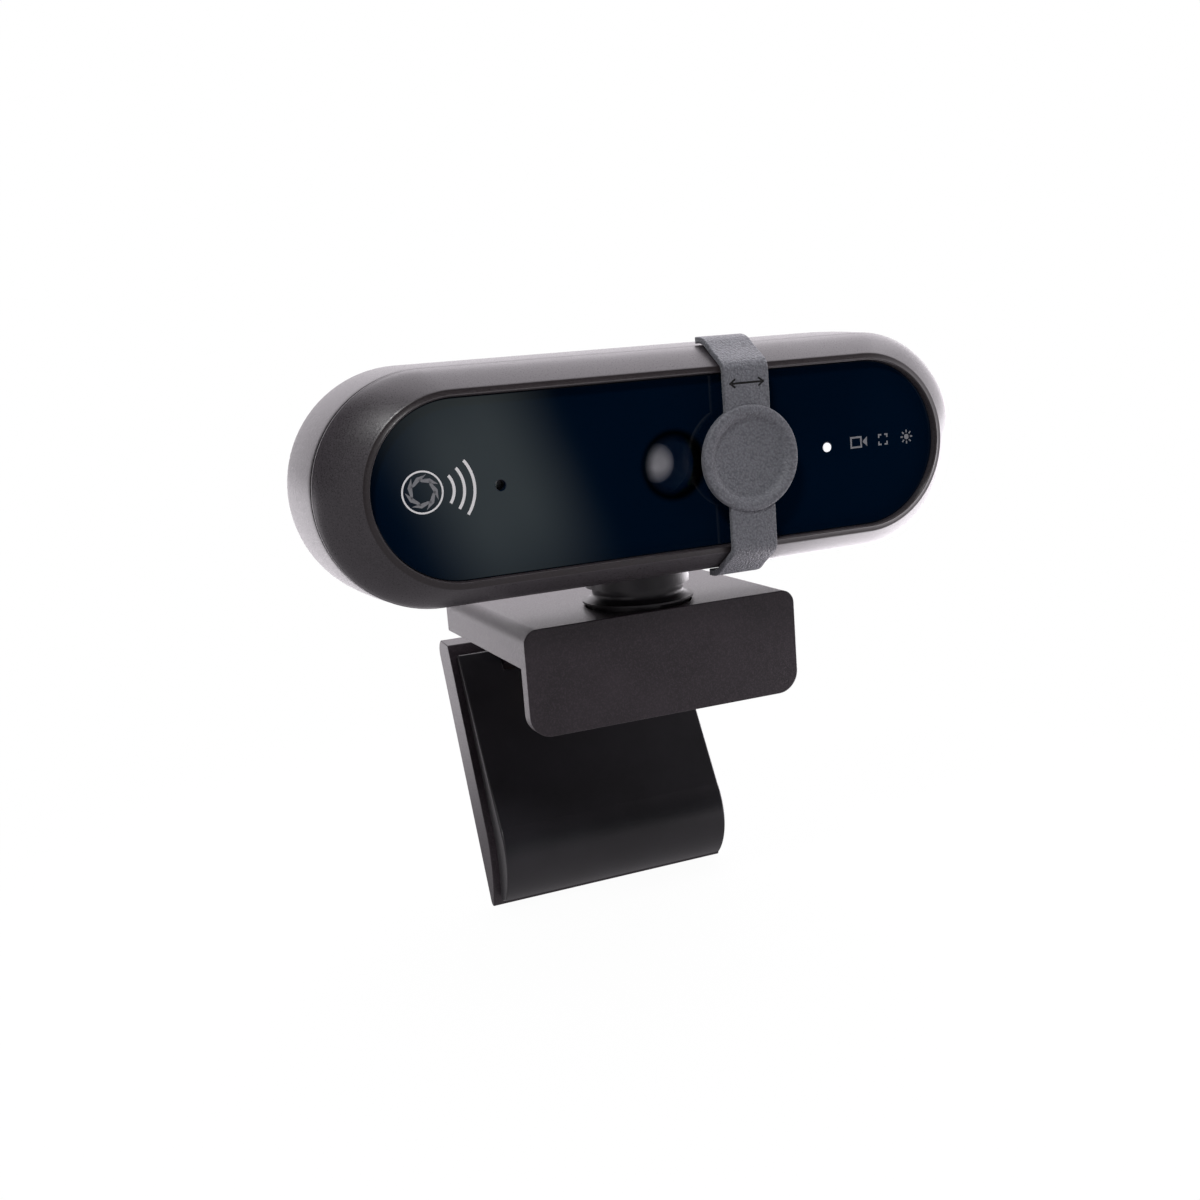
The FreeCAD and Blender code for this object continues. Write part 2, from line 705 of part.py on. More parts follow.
def cable_header():
    """Header on the back of the main board for the lead."""
    y0 = sensor_board_y + board_t
    depth = 3.4
    skin = 0.8
    low = 2.0
    high = 6.6
    header = box(-header_w / 2, header_w / 2, y0, y0 + depth, low, high)
    socket = box(-header_w / 2 + skin, header_w / 2 - skin, y0 + skin, y0 + depth,
                 low + skin, high - skin)
    return on_head(header.cut(socket))


def lens_holder():
    """Square lens mount on the board with the threaded socket for the barrel."""
    base_y = sensor_board_y
    base = box(-8, 8, base_y - holder_base_t, base_y, -5.0, 6)
    socket_y = base_y - holder_base_t - 4.6
    socket = rod(thread_barrel_r + 1.4, V(0, socket_y, 0), Y, 5.0)
    body = joined([base, socket])
    body = body.cut(rod(thread_barrel_r, V(0, socket_y, 0), Y, 5.4))
    room = sensor_half + 0.4
    return on_head(body.cut(box(-room, room, base_y - 3.3, base_y, -room, room)))


def infrared_filter():
    """Thin filter glass between the lens and the sensor."""
    half = sensor_half + 0.3
    back = sensor_board_y - 2.0
    return on_head(box(-half, half, back - filter_t, back, -half, half))


def lens_barrel():
    """Threaded barrel with a stepped black funnel in front of the first lens."""
    front = -lens_front
    rear = sensor_board_y - 3.6
    barrel = rod(thread_barrel_r, V(0, front + 2.0, 0), Y, rear - front - 2.0)
    barrel = barrel.fuse(rod(barrel_out_r, V(0, front, 0), Y, 3.0))
    barrel = barrel.cut(Part.makeCone(4.4, element_r, 1.6, V(0, front, 0), Y))
    barrel = barrel.cut(rod(element_r, V(0, front + 1.6, 0), Y, 2.4))
    barrel = barrel.cut(rod(element_r - 0.5, V(0, front + 4.0, 0), Y, 10))
    return on_head(barrel.removeSplitter())


def front_lens():
    """First lens, domed at the front."""
    front = -lens_front + 1.6
    dome = Part.makeSphere(4.2, V(0, front + 3.4, 0))
    return on_head(dome.common(rod(element_r, V(0, front - 1.2, 0), Y, 3.4)))


def rear_lens():
    """Second lens of the group."""
    start = V(0, -lens_front + 4.6, 0)
    return on_head(rod(element_r - 0.5, start, Y, 1.6))


def cable_grommet():
    """Rubber gland where a lead would enter the rear housing."""
    back = rear_full + rear_round
    flange = rod(4.4, V(0, back, grommet_z), Y, 1.0)
    neck = rod(3.15, V(0, back - wall - 0.1, grommet_z), Y, wall + 0.1)
    inner = rod(4.2, V(0, back - wall - 1.1, grommet_z), Y, 1.0)
    hole = rod(grommet_bore_r, V(0, back - 5, grommet_z), Y, 8)
    return on_head(joined([flange, neck, inner]).cut(hole))


# ---- head: socket --------------------------------------------------------------------------------

collar_screw_x = collar_r + 2.85
collar_ear = collar_screw_x + 2.0


def neck_collar():
    """Collar under the head: a domed cup over the ball, slotted for the stud, on a flange inside."""
    centre = V(0, neck_y, ball_z)
    rim = rod(collar_r, centre, Z, saddle_top + collar_flange - ball_z)
    rim = rim.makeFillet(0.35, [e for e in rim.Edges if e.BoundBox.ZMax < ball_z + 0.01])
    dome = Part.makeSphere(cup_r, centre).common(rod(collar_r, centre, Z, cup_r + 1))
    ears = box(-collar_ear, collar_ear, neck_y - 3.2, neck_y + 3.2, saddle_top,
               saddle_top + collar_flange)
    body = joined([rim, dome, ears]).cut(Part.makeSphere(seat_r, centre))
    travel = (cup_r + 1) * math.sin(math.radians(tilt_limit + 1))
    slot_w = stud_r + 0.3
    slot = box(-slot_w, slot_w, neck_y - travel, neck_y + travel, ball_z, ball_z + cup_r + 1)
    ends = [rod(slot_w, V(0, neck_y + side * travel, ball_z), Z, cup_r + 1) for side in (-1, 1)]
    body = body.cut(joined([slot] + ends))
    for side in (-1, 1):
        body = body.cut(rod(1.0, V(side * collar_screw_x, neck_y, saddle_top - 1), Z, 4))
    return body.removeSplitter()


def collar_screws():
    """Two screws that hold the collar's flange on the rear housing's saddle."""
    screws = [screw(0.8, 1.6, 1.0, 3.2, V(side * collar_screw_x, neck_y, saddle_top + collar_flange), -Z)
              for side in (-1, 1)]
    return Part.makeCompound(screws)


# ---- privacy cover -------------------------------------------------------------------------------

def cover_path(sign):
    """Inner corners of an arm in Y and Z, from the middle of the face to the end behind the ridge."""
    side = seam_r + cover_side_gap
    return [
        (-cover_in, 0.0),
        (-cover_in, sign * (bezel_front_r + 0.25)),
        (-bezel_d * 0.62, sign * (bezel_front_r + 2.55)),
        (-ridge - 1.3, sign * (side - 0.1)),
        (-ridge, sign * side),
        (seam_groove_w / 2 - 0.1, sign * side),
    ]


def offset_path(points, distance, sign):
    """The same corners moved outwards by a thickness, square to the runs beside them."""
    moved = []
    for i, (y, z) in enumerate(points):
        before = points[max(i - 1, 0)]
        after = points[min(i + 1, len(points) - 1)]
        normals = []
        for a, b in ((before, (y, z)), ((y, z), after)):
            run = math.hypot(b[0] - a[0], b[1] - a[1])
            if run > 1e-9:
                normals.append((-(b[1] - a[1]) * sign / run, (b[0] - a[0]) * sign / run))
        ny = sum(n[0] for n in normals) / len(normals)
        nz = sum(n[1] for n in normals) / len(normals)
        square = ny * ny + nz * nz
        moved.append((y + ny / square * distance, z + nz / square * distance))
    return moved


def cover_arm(sign):
    inner = cover_path(sign)
    outer = offset_path(inner, cover_t, sign)
    ring = [V(-cover_w / 2, y, z) for y, z in inner + outer[::-1]]
    arm = Part.Face(Part.makePolygon(ring + ring[:1])).extrude(V(cover_w, 0, 0))
    bends = edges_along(arm, X, lambda c: abs(c.z) > 5 and c.y < -ridge + 0.2)
    arm = arm.makeFillet(0.45, bends)
    bead = rod(bead_r, V(-cover_w / 2, 0, sign * (seam_r + cover_side_gap - 0.12)), X, cover_w)
    return arm.fuse(bead)


def arrow_cuts():
    """Engraved double-headed arrow across the upper arm."""
    y0 = -cover_in - cover_t
    z = (cover_disc_r + bezel_front_r) / 2 + 0.55
    depth = 0.25
    half = cover_w * 0.36
    width = 0.28
    cuts = [box(-half, half, y0 - 0.1, y0 + depth, z - width / 2, z + width / 2)]
    for side in (-1, 1):
        for turn in (-1, 1):
            stroke = box(0, 1.1, y0 - 0.1, y0 + depth, -width / 2, width / 2)
            stroke.rotate(V(0, 0, 0), Y, 90 - side * 90 + turn * 35)
            stroke.rotate(V(0, 0, 0), Y, 180)
            cuts.append(stroke.translated(V(side * half, 0, z)))
    return cuts


def privacy_cover():
    """Sliding cover: a dished disc on a strap that hooks behind the bezel's ridge above and below."""
    disc_front = -cover_in - cover_t - cover_disc_proud
    disc = rod(cover_disc_r, V(0, disc_front, 0), Y, cover_t + cover_disc_proud)
    rim = [e for e in disc.Edges if e.BoundBox.YMax < disc_front + 0.01]
    disc = disc.makeFillet(0.4, rim)
    body = joined([cover_arm(1), cover_arm(-1), disc])
    dish_r = cover_disc_r - 1.5
    dish_d = 0.65
    ball = (dish_r ** 2 + dish_d ** 2) / (2 * dish_d)
    body = body.cut(Part.makeSphere(ball, V(0, disc_front + dish_d - ball, 0)))
    for cut in arrow_cuts():
        body = body.cut(cut)
    return on_head(body.removeSplitter().translated(V(cover_x, 0, 0)))


# ---- write every piece ---------------------------------------------------------------------------

pieces = [
    clip_bracket, rest_pad, lip_pad, tripod_insert, pan_washer, spring_washer, hinge_pin,
    leg_shell, leg_pad, neck_ball, pan_screw, tilt_stud, clamp_cap, clamp_spring, clamp_nut,
    front_bezel, rear_housing, bezel_screws, front_glass, glass_tape, front_board, microphone,
    microphone_boot, status_led, light_pipe, sensor_board, board_screws, image_sensor, video_chip,
    cable_header, lens_holder, infrared_filter, lens_barrel, front_lens, rear_lens, cable_grommet,
    neck_collar, collar_screws, privacy_cover,
]

os.makedirs("parts", exist_ok=True)
for piece in pieces:
    shape = piece()
    name = piece.__name__
    if not shape.isValid():
        raise ValueError(name + " is not a valid shape")
    shape.exportStep("parts/" + name + ".step")
    print(f"{name}: {len(shape.Solids)} solid(s), {shape.Volume:.1f} mm3")
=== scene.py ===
"""Clip-on webcam: a pill-shaped camera head behind dark glass, with a sliding privacy cover, on a
glossy ball neck, a monitor clip and a hinged rear leg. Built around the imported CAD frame."""
import math

import bmesh
import bpy
from mathutils import Matrix, Vector


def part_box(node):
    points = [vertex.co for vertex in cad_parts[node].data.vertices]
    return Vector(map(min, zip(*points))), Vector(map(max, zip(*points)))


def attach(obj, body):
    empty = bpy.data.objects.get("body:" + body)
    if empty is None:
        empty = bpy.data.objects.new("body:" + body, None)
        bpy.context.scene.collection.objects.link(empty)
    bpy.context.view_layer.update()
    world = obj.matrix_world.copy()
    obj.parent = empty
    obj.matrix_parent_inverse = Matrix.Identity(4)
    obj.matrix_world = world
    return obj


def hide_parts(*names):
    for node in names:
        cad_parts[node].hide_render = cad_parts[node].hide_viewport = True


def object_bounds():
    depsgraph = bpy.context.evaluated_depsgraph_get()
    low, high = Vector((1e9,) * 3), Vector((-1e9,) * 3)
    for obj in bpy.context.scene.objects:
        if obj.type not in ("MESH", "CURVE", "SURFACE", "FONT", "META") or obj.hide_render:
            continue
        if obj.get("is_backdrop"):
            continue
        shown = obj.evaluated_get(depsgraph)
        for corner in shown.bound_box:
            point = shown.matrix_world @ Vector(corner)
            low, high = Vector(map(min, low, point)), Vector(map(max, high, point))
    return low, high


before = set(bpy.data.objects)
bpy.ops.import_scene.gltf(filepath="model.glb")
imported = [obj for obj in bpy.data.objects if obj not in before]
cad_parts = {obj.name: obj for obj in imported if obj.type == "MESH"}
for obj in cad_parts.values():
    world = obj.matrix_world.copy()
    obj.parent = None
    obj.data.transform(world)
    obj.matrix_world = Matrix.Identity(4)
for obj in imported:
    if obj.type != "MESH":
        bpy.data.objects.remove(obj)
cad_low, cad_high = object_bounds()
mm = 0.001
scene = bpy.context.scene

# ---- camera ---------------------------------------------------------------------------------------
# Product view from the left, a little above the head and rolled a few degrees, with a long lens.

camera_data = bpy.data.cameras.new("camera")
camera_data.lens = 41.74
camera_data.sensor_width = 36.0
camera_data.clip_start = 0.01
camera = bpy.data.objects.new("camera", camera_data)
scene.collection.objects.link(camera)
turn = Matrix.Rotation(math.radians(-22.32), 4, "Z")
tip = Matrix.Rotation(math.radians(90 - 10.42), 4, "X")
roll = Matrix.Rotation(math.radians(-4.46), 4, "Z")
camera.matrix_world = Matrix.Translation((-0.08914, -0.21706, 0.04728)) @ turn @ tip @ roll
scene.camera = camera

# ---- front bezel ----------------------------------------------------------------------------------
# Moulded frame round the glass: a thin straight ridge at the parting line, then a convex slope that
# is wider at the ends, rolled over a fine lip and down to the ledge that carries the glass.

bezel_low, bezel_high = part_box("front_bezel")
glass_low, glass_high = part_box("front_glass")
seam_y = bezel_high.y
head_z = (bezel_low.z + bezel_high.z) / 2
ridge_half = (bezel_high.x - bezel_low.x) / 2
ridge_r = (bezel_high.z - bezel_low.z) / 2
bezel_depth = bezel_high.y - bezel_low.y
ridge = 0.8 * mm
lip_half = 46.0 * mm
lip_r = 13.0 * mm
rim_w = 0.85 * mm
rim_drop = 0.3 * mm
ledge_half = 36.0 * mm
ledge_r = 11.2 * mm
ledge_back = 2.4 * mm
seam_gap = 0.35 * mm
seam_depth = 0.5 * mm
seam_shade_in = 0.02 * mm
seam_shade_out = 0.2 * mm
pocket_play = 0.08 * mm
tape = 0.2 * mm


def pill_ring(half, radius, y, arc_steps=44, run_steps=16):
    """Points round a pill in the plane at y: half its length and its end radius."""
    run = half - radius
    ring = []
    for side in (1, -1):
        for i in range(arc_steps + 1):
            turned = math.pi * i / arc_steps
            ring.append((side * (run + radius * math.sin(turned)), y,
                         head_z + side * radius * math.cos(turned)))
        for i in range(1, run_steps):
            ring.append((side * run * (1 - 2 * i / run_steps), y, head_z - side * radius))
    return ring


def piece_of(name, mesh):
    """Object at the origin that holds a mesh, in the scene."""
    piece = bpy.data.objects.new(name, mesh)
    scene.collection.objects.link(piece)
    return piece


def skin(name, rings, loop=False):
    """Closed skin through rings of equal count, capped at both ends or joined end to start."""
    bm = bmesh.new()
    made = [[bm.verts.new(point) for point in ring] for ring in rings]
    following = made[1:] + made[:1] if loop else made[1:]
    for first, second in zip(made, following):
        for i in range(len(first)):
            j = (i + 1) % len(first)
            bm.faces.new((first[i], first[j], second[j], second[i]))
    if not loop:
        bm.faces.new(made[0])
        bm.faces.new(made[-1])
    return settled(name, bm)


def settled(name, bm, crease=38):
    """Merges doubles, turns faces outwards, smooths all but sharp edges and makes the object."""
    bmesh.ops.remove_doubles(bm, verts=bm.verts, dist=1e-7)
    bmesh.ops.recalc_face_normals(bm, faces=bm.faces)
    mesh = bpy.data.meshes.new(name)
    bm.to_mesh(mesh)
    bm.free()
    mesh.polygons.foreach_set("use_smooth", [True] * len(mesh.polygons))
    mesh.set_sharp_from_angle(angle=math.radians(crease))
    return piece_of(name, mesh)


def bezel_station(t):
    """Half length, end radius and y of the slope, from the ridge at 0 to the rim at 1."""
    crown = 1 - t ** 1.35
    rim_half, rim_r = lip_half + rim_w, lip_r + rim_w
    return (rim_half + (ridge_half - rim_half) * crown, rim_r + (ridge_r - rim_r) * crown,
            seam_y - ridge - (bezel_depth - ridge - rim_drop) * t)


def bezel_rings():
    """Rings over the ridge, down the slope, round the lip and back along the inside."""
    rings = []
    for inset, y in ((seam_depth, 0), (seam_depth, -seam_gap), (0.1 * mm, -seam_gap),
                     (0.03 * mm, -seam_gap - 0.03 * mm), (0, -seam_gap - 0.1 * mm),
                     (0, -ridge + 0.15 * mm), (0.03 * mm, -ridge + 0.05 * mm)):
        rings.append(pill_ring(ridge_half - inset, ridge_r - inset, seam_y + y))
    stations = 26
    for i in range(stations):
        half, radius, y = bezel_station(0.02 + 0.96 * i / (stations - 1))
        inset = 0.1 * mm * (1 - i / (stations - 1)) ** 4
        rings.append(pill_ring(half - inset, radius - inset, y))
    front = bezel_low.y
    for inset, y in ((-0.8, 0.25), (-0.7, 0.21), (-0.1, 0.09), (-0.02, 0.0), (0.06, 0.0), (0.12, 0.04),
                     (0.2, 0.16), (0.24, 0.3)):
        rings.append(pill_ring(lip_half - inset * mm, lip_r - inset * mm, front + y * mm))
    pocket_half = (glass_high.x - glass_low.x) / 2 + pocket_play
    pocket_r = (glass_high.z - glass_low.z) / 2 + pocket_play
    floor_y = glass_high.y + tape
    back_half = ridge_half - 2.6 * mm
    back_r = ridge_r - 2.6 * mm
    rings.append(pill_ring(pocket_half, pocket_r, glass_low.y - 0.1 * mm))
    rings.append(pill_ring(pocket_half, pocket_r, floor_y))
    rings.append(pill_ring(ledge_half, ledge_r, floor_y))
    rings.append(pill_ring(ledge_half, ledge_r, seam_y - ledge_back))
    rings.append(pill_ring(back_half, back_r, seam_y - ledge_back))
    rings.append(pill_ring(back_half, back_r, seam_y))
    return rings


def new_finish(name):
    """Fresh material: its node tree, its shader and the piece's own coordinates."""
    finish = bpy.data.materials.new(name)
    finish.use_nodes = True
    tree = finish.node_tree
    where = tree.nodes.new("ShaderNodeTexCoord").outputs["Object"]
    return finish, tree, tree.nodes["Principled BSDF"], where


def noise(tree, where, size, detail=2.0, rough=0.5):
    """Cloudy pattern with features about that size across."""
    node = tree.nodes.new("ShaderNodeTexNoise")
    node.inputs["Scale"].default_value = 1 / size
    node.inputs["Detail"].default_value = detail
    node.inputs["Roughness"].default_value = rough
    tree.links.new(where, node.inputs["Vector"])
    return node.outputs["Fac"]


def ranged(tree, value, low, high, from_low=0.3, from_high=0.7):
    """The value's middle band stretched to run from low to high."""
    node = tree.nodes.new("ShaderNodeMapRange")
    for name, number in (("From Min", from_low), ("From Max", from_high),
                         ("To Min", low), ("To Max", high)):
        node.inputs[name].default_value = number
    tree.links.new(value, node.inputs["Value"])
    return node.outputs["Result"]


def mixed(tree, share, first, second):
    """Colour between two, each a colour or a socket."""
    node = tree.nodes.new("ShaderNodeMix")
    node.data_type = "RGBA"
    tree.links.new(share, node.inputs["Factor"])
    for slot, colour in (("A", first), ("B", second)):
        socket = [s for s in node.inputs if s.name == slot and s.type == "RGBA"][0]
        if isinstance(colour, tuple):
            socket.default_value = (*colour, 1)
        else:
            tree.links.new(colour, socket)
    return [s for s in node.outputs if s.type == "RGBA"][0]


def bumped(tree, surface, height, depth, under=None):
    """Raises the surface by a height pattern, on top of another bump if there is one."""
    node = tree.nodes.new("ShaderNodeBump")
    node.inputs["Distance"].default_value = depth
    tree.links.new(height, node.inputs["Height"])
    if under is not None:
        tree.links.new(under, node.inputs["Normal"])
    tree.links.new(node.outputs["Normal"], surface.inputs["Normal"])
    return node.outputs["Normal"]


def spark_plastic(name, dark, light, grain, depth, roughness):
    """Moulded plastic with a fine spark-eroded texture and faint flow mottling."""
    finish, tree, surface, where = new_finish(name)
    fine = noise(tree, where, grain, 3.0, 0.65)
    flecks = ranged(tree, fine, 0, 1, 0.46, 0.76)
    mottle = noise(tree, where, 9 * mm, 3.0)
    body = mixed(tree, ranged(tree, mottle, 0, 1), dark, tuple(0.7 * d + 0.3 * l for d, l in
                                                              zip(dark, light)))
    tree.links.new(mixed(tree, flecks, body, light), surface.inputs["Base Color"])
    tree.links.new(ranged(tree, fine, roughness - 0.1, roughness + 0.1),
                   surface.inputs["Roughness"])
    waves = bumped(tree, surface, noise(tree, where, 2.4 * mm, 1.0), 0.006 * mm)
    bumped(tree, surface, fine, depth, waves)
    surface.inputs["Specular IOR Level"].default_value = 0.5
    return finish


def painted_band(piece, finish, test):
    """Gives another finish to the faces whose centres pass the test."""
    piece.data.materials.append(finish)
    for face in piece.data.polygons:
        if test(face.center):
            face.material_index = len(piece.data.materials) - 1


def in_seam(centre):
    """Whether a point lies in the groove along the parting line or on the step behind it."""
    beyond = max(0.0, abs(centre.x) - (ridge_half - ridge_r))
    reach = math.hypot(beyond, centre.z - head_z)
    return abs(centre.y - seam_y) < seam_gap + seam_shade_in and reach < ridge_r + seam_shade_out


shell_finish = spark_plastic("charcoal_spark_plastic", (0.026, 0.023, 0.026), (0.064, 0.057, 0.064),
                             0.2 * mm, 0.018 * mm, 0.33)
darker_lip_band_finish = spark_plastic("brown_rim_plastic", (0.016, 0.012, 0.013), (0.03, 0.024, 0.026),
                           0.2 * mm, 0.008 * mm, 0.36)
seam_finish = spark_plastic("seam_shadow_plastic", (0.003, 0.0025, 0.003), (0.008, 0.007, 0.008),
                            0.3 * mm, 0.004 * mm, 0.7)
front_bezel = skin("front_bezel_shell", bezel_rings(), loop=True)
front_bezel.data.materials.append(shell_finish)
# The lip's rolled band is given a darker copy of the shell plastic.
rim_front, rim_back = bezel_low.y + 0.02 * mm, bezel_low.y + rim_drop - 0.02 * mm
painted_band(front_bezel, darker_lip_band_finish, lambda centre: rim_front < centre.y < rim_back)
painted_band(front_bezel, seam_finish, in_seam)
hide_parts("front_bezel")
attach(front_bezel, "head")

# ---- rear housing ---------------------------------------------------------------------------------
# Deep rear shell in the same plastic, a little fuller than the parting line and rounded at the back.
# It is open below for the collar and behind for the lead's gland.

rear_low, rear_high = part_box("rear_housing")
collar_low, collar_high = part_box("neck_collar")
grommet_low, grommet_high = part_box("cable_grommet")
rear_y = rear_high.y
full_r = (rear_high.x - rear_low.x) / 2 - ridge_half + ridge_r
full_y = 13.5 * mm
round_r = 6.5 * mm
shell_wall = 1.7 * mm
pill_run = ridge_half - ridge_r
neck_y = (collar_low.y + collar_high.y) / 2
collar_r = (collar_high.y - collar_low.y) / 2
gland_r = 3.2 * mm


def rear_rings(inset):
    """Rings from the parting line back to the flat of the rear face, a wall's depth inside."""
    front_r = ridge_r - inset
    rings = []
    steps = 12
    for i in range(1, steps + 1):
        t = i / steps
        sag = 4 * 0.12 * mm * t * (1 - t)
        rings.append((front_r + (full_r - ridge_r) * t + sag, seam_y + full_y * t))
    steps = 18
    corner = round_r - inset
    for i in range(1, steps + 1):
        turned = math.pi / 2 * i / steps
        rings.append((full_r - round_r + corner * math.cos(turned),
                      seam_y + full_y + corner * math.sin(turned)))
    for radius in (8.0 * mm, 4.0 * mm):
        rings.append((radius, rings[-1][1]))
    return rings


outside = [(ridge_r - seam_depth, seam_y), (ridge_r - seam_depth, seam_y + seam_gap),
           (ridge_r - 0.1 * mm, seam_y + seam_gap), (ridge_r - 0.03 * mm, seam_y + seam_gap + 0.03 * mm),
           (ridge_r, seam_y + seam_gap + 0.1 * mm)] + rear_rings(0)
inside = [(ridge_r - shell_wall, seam_y)] + rear_rings(shell_wall)
rear_profile = inside[::-1] + outside
rear_housing = skin("rear_housing_shell",
                    [pill_ring(pill_run + radius, radius, y) for radius, y in rear_profile])


def round_bar(name, radius, start, end, sides=96):
    """Closed round bar between two points, used as a cutter."""
    start, end = Vector(start), Vector(end)
    turned = (end - start).to_track_quat("Z", "Y").to_matrix().to_4x4()
    bm = bmesh.new()
    bmesh.ops.create_cone(bm, cap_ends=True, segments=sides, radius1=radius, radius2=radius,
                          depth=(end - start).length,
                          matrix=Matrix.Translation((start + end) / 2) @ turned)
    return settled(name, bm)


def shaped(piece, operation, tools):
    """Cuts or joins other pieces into this one, and removes them."""
    for tool in tools:
        tool.hide_render = True
        change = piece.modifiers.new("change", "BOOLEAN")
        change.operation = operation
        change.solver = "EXACT"
        change.object = tool
    bpy.context.view_layer.update()
    result = piece.evaluated_get(bpy.context.evaluated_depsgraph_get())
    bm = bmesh.new()
    bm.from_mesh(bpy.data.meshes.new_from_object(result))
    name = piece.name
    for old in [piece] + list(tools):
        bpy.data.objects.remove(old)
    return settled(name, bm)


collar_hole = round_bar("collar_hole", collar_r + 0.05 * mm, (0, neck_y, collar_low.z - 5 * mm),
                        (0, neck_y, collar_low.z + 5.1 * mm))
grommet_x = (grommet_low.x + grommet_high.x) / 2
grommet_z = (grommet_low.z + grommet_high.z) / 2
gland_hole = round_bar("gland_hole", gland_r, (grommet_x, rear_y - 4 * mm, grommet_z),
                       (grommet_x, rear_y + 2 * mm, grommet_z))
rear_housing = shaped(rear_housing, "DIFFERENCE", [collar_hole, gland_hole])
rear_housing.data.materials.append(shell_finish)
painted_band(rear_housing, seam_finish, in_seam)
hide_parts("rear_housing")
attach(rear_housing, "head")

# ---- front glass ----------------------------------------------------------------------------------
# One polished pane with a fine ground edge, printed black behind except for the lens window, with a
# sound hole for the microphone and a hole for the lamp's light pipe.

pipe_low, pipe_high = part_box("light_pipe")
boot_low, boot_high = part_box("microphone_boot")
lamp_x = (pipe_low.x + pipe_high.x) / 2
mic_x = (boot_low.x + boot_high.x) / 2
glass_half = (glass_high.x - glass_low.x) / 2
glass_r = (glass_high.z - glass_low.z) / 2
hole_r = 0.73 * mm
window_r = 5.6 * mm


def circle_outline(x, z, radius, sides=48):
    """Points round a circle."""
    steps = [2 * math.pi * i / sides for i in range(sides)]
    return [(x + radius * math.cos(a), z + radius * math.sin(a)) for a in steps]


def slab(name, outlines, low, high, edge, place, crease=8):
    """Flat piece with rounded edges. The outlines lie in one plane, inner ones are holes, and place
    turns an outline's two coordinates and the depth into a point."""
    curve = bpy.data.curves.new(name, "CURVE")
    curve.dimensions = "2D"
    curve.fill_mode = "BOTH"
    curve.extrude = (high - low) / 2 - edge
    curve.bevel_depth = edge
    curve.bevel_resolution = 3
    curve.offset = -edge
    for outline in outlines:
        spline = curve.splines.new("POLY")
        spline.points.add(len(outline) - 1)
        spline.use_cyclic_u = True
        for point, (a, b) in zip(spline.points, outline):
            point.co = (a, b, 0, 1)
    maker = piece_of(name + "_outline", curve)
    bpy.context.view_layer.update()
    flat = bpy.data.meshes.new_from_object(maker.evaluated_get(bpy.context.evaluated_depsgraph_get()))
    bpy.data.objects.remove(maker)
    bm = bmesh.new()
    bm.from_mesh(flat)
    for vertex in bm.verts:
        vertex.co = place(vertex.co.x, vertex.co.y, vertex.co.z + (low + high) / 2)
    bmesh.ops.remove_doubles(bm, verts=bm.verts, dist=2e-7)
    return settled(name, bm, crease)


def from_lens_axis(tree, where):
    """Distance from the lens axis, which runs fore and aft through the middle of the head."""
    mapping = tree.nodes.new("ShaderNodeMapping")
    mapping.inputs["Location"].default_value = (0, 0, -head_z)
    mapping.inputs["Scale"].default_value = (1, 0, 1)
    tree.links.new(where, mapping.inputs["Vector"])
    reach = tree.nodes.new("ShaderNodeVectorMath")
    reach.operation = "LENGTH"
    tree.links.new(mapping.outputs["Vector"], reach.inputs[0])
    return reach.outputs["Value"]


def glass_finish():
    """Black-printed pane with a dark clear window over the lens."""
    finish, tree, surface, where = new_finish("printed_window_glass")
    reach = from_lens_axis(tree, where)
    window = ranged(tree, reach, 1, 0, window_r - 0.8 * mm, window_r)
    clear = ranged(tree, reach, 1, 0, window_r - 2.4 * mm, window_r - 0.9 * mm)
    print_depth = mixed(tree, noise(tree, where, 22 * mm, 2.0), (0.0002, 0.0036, 0.011),
                        (0.0004, 0.0058, 0.0175))
    tree.links.new(mixed(tree, clear, print_depth, (0.95, 0.95, 0.97)), surface.inputs["Base Color"])
    tree.links.new(window, surface.inputs["Transmission Weight"])
    smears = noise(tree, where, 14 * mm, 2.0)
    tree.links.new(ranged(tree, smears, 0.03, 0.07), surface.inputs["Roughness"])
    surface.inputs["IOR"].default_value = 1.5
    return finish


glass_rim = [(x, z - head_z) for x, y, z in pill_ring(glass_half, glass_r, 0, 64, 24)]
front_glass = slab(
    "front_glass_pane",
    [glass_rim, circle_outline(mic_x, 0, hole_r), circle_outline(lamp_x, 0, hole_r)],
    glass_low.y, glass_high.y, 0.12 * mm, lambda a, b, depth: (a, depth, head_z + b))
front_glass.data.materials.append(glass_finish())
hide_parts("front_glass")
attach(front_glass, "head")

# ---- printed marks -------------------------------------------------------------------------------
# Pale grey pictograms printed on the glass: an iris of blades with three sound arcs at one end, and
# a little camera, a picture frame and a lamp at the other. Each is a thin film of ink.

ink_front = glass_low.y - 0.012 * mm
ink_t = 0.01 * mm
mark_z = head_z + 0.25 * mm
iris_x = -38.3 * mm
camera_x = 32.0 * mm
frame_x = 36.5 * mm
rays_x = 40.9 * mm


def node_tree(name, sockets):
    """Empty geometry tree with named inputs, each a name, a socket type and its usual value."""
    tree = bpy.data.node_groups.new(name, "GeometryNodeTree")
    tree.interface.new_socket("Geometry", in_out="OUTPUT", socket_type="NodeSocketGeometry")
    for label, kind, usual in sockets:
        socket = tree.interface.new_socket(label, in_out="INPUT", socket_type=kind)
        if usual is not None:
            socket.default_value = usual
    return tree, tree.nodes.new("NodeGroupInput"), tree.nodes.new("NodeGroupOutput")


def closing(tree, geometry, given, out):
    """Ends a tree: real geometry in place of instances, with the named finish."""
    real = tree.nodes.new("GeometryNodeRealizeInstances")
    coat = tree.nodes.new("GeometryNodeSetMaterial")
    tree.links.new(geometry, real.inputs["Geometry"])
    tree.links.new(real.outputs["Geometry"], coat.inputs["Geometry"])
    tree.links.new(given.outputs["Finish"], coat.inputs["Material"])
    tree.links.new(coat.outputs["Geometry"], out.inputs["Geometry"])


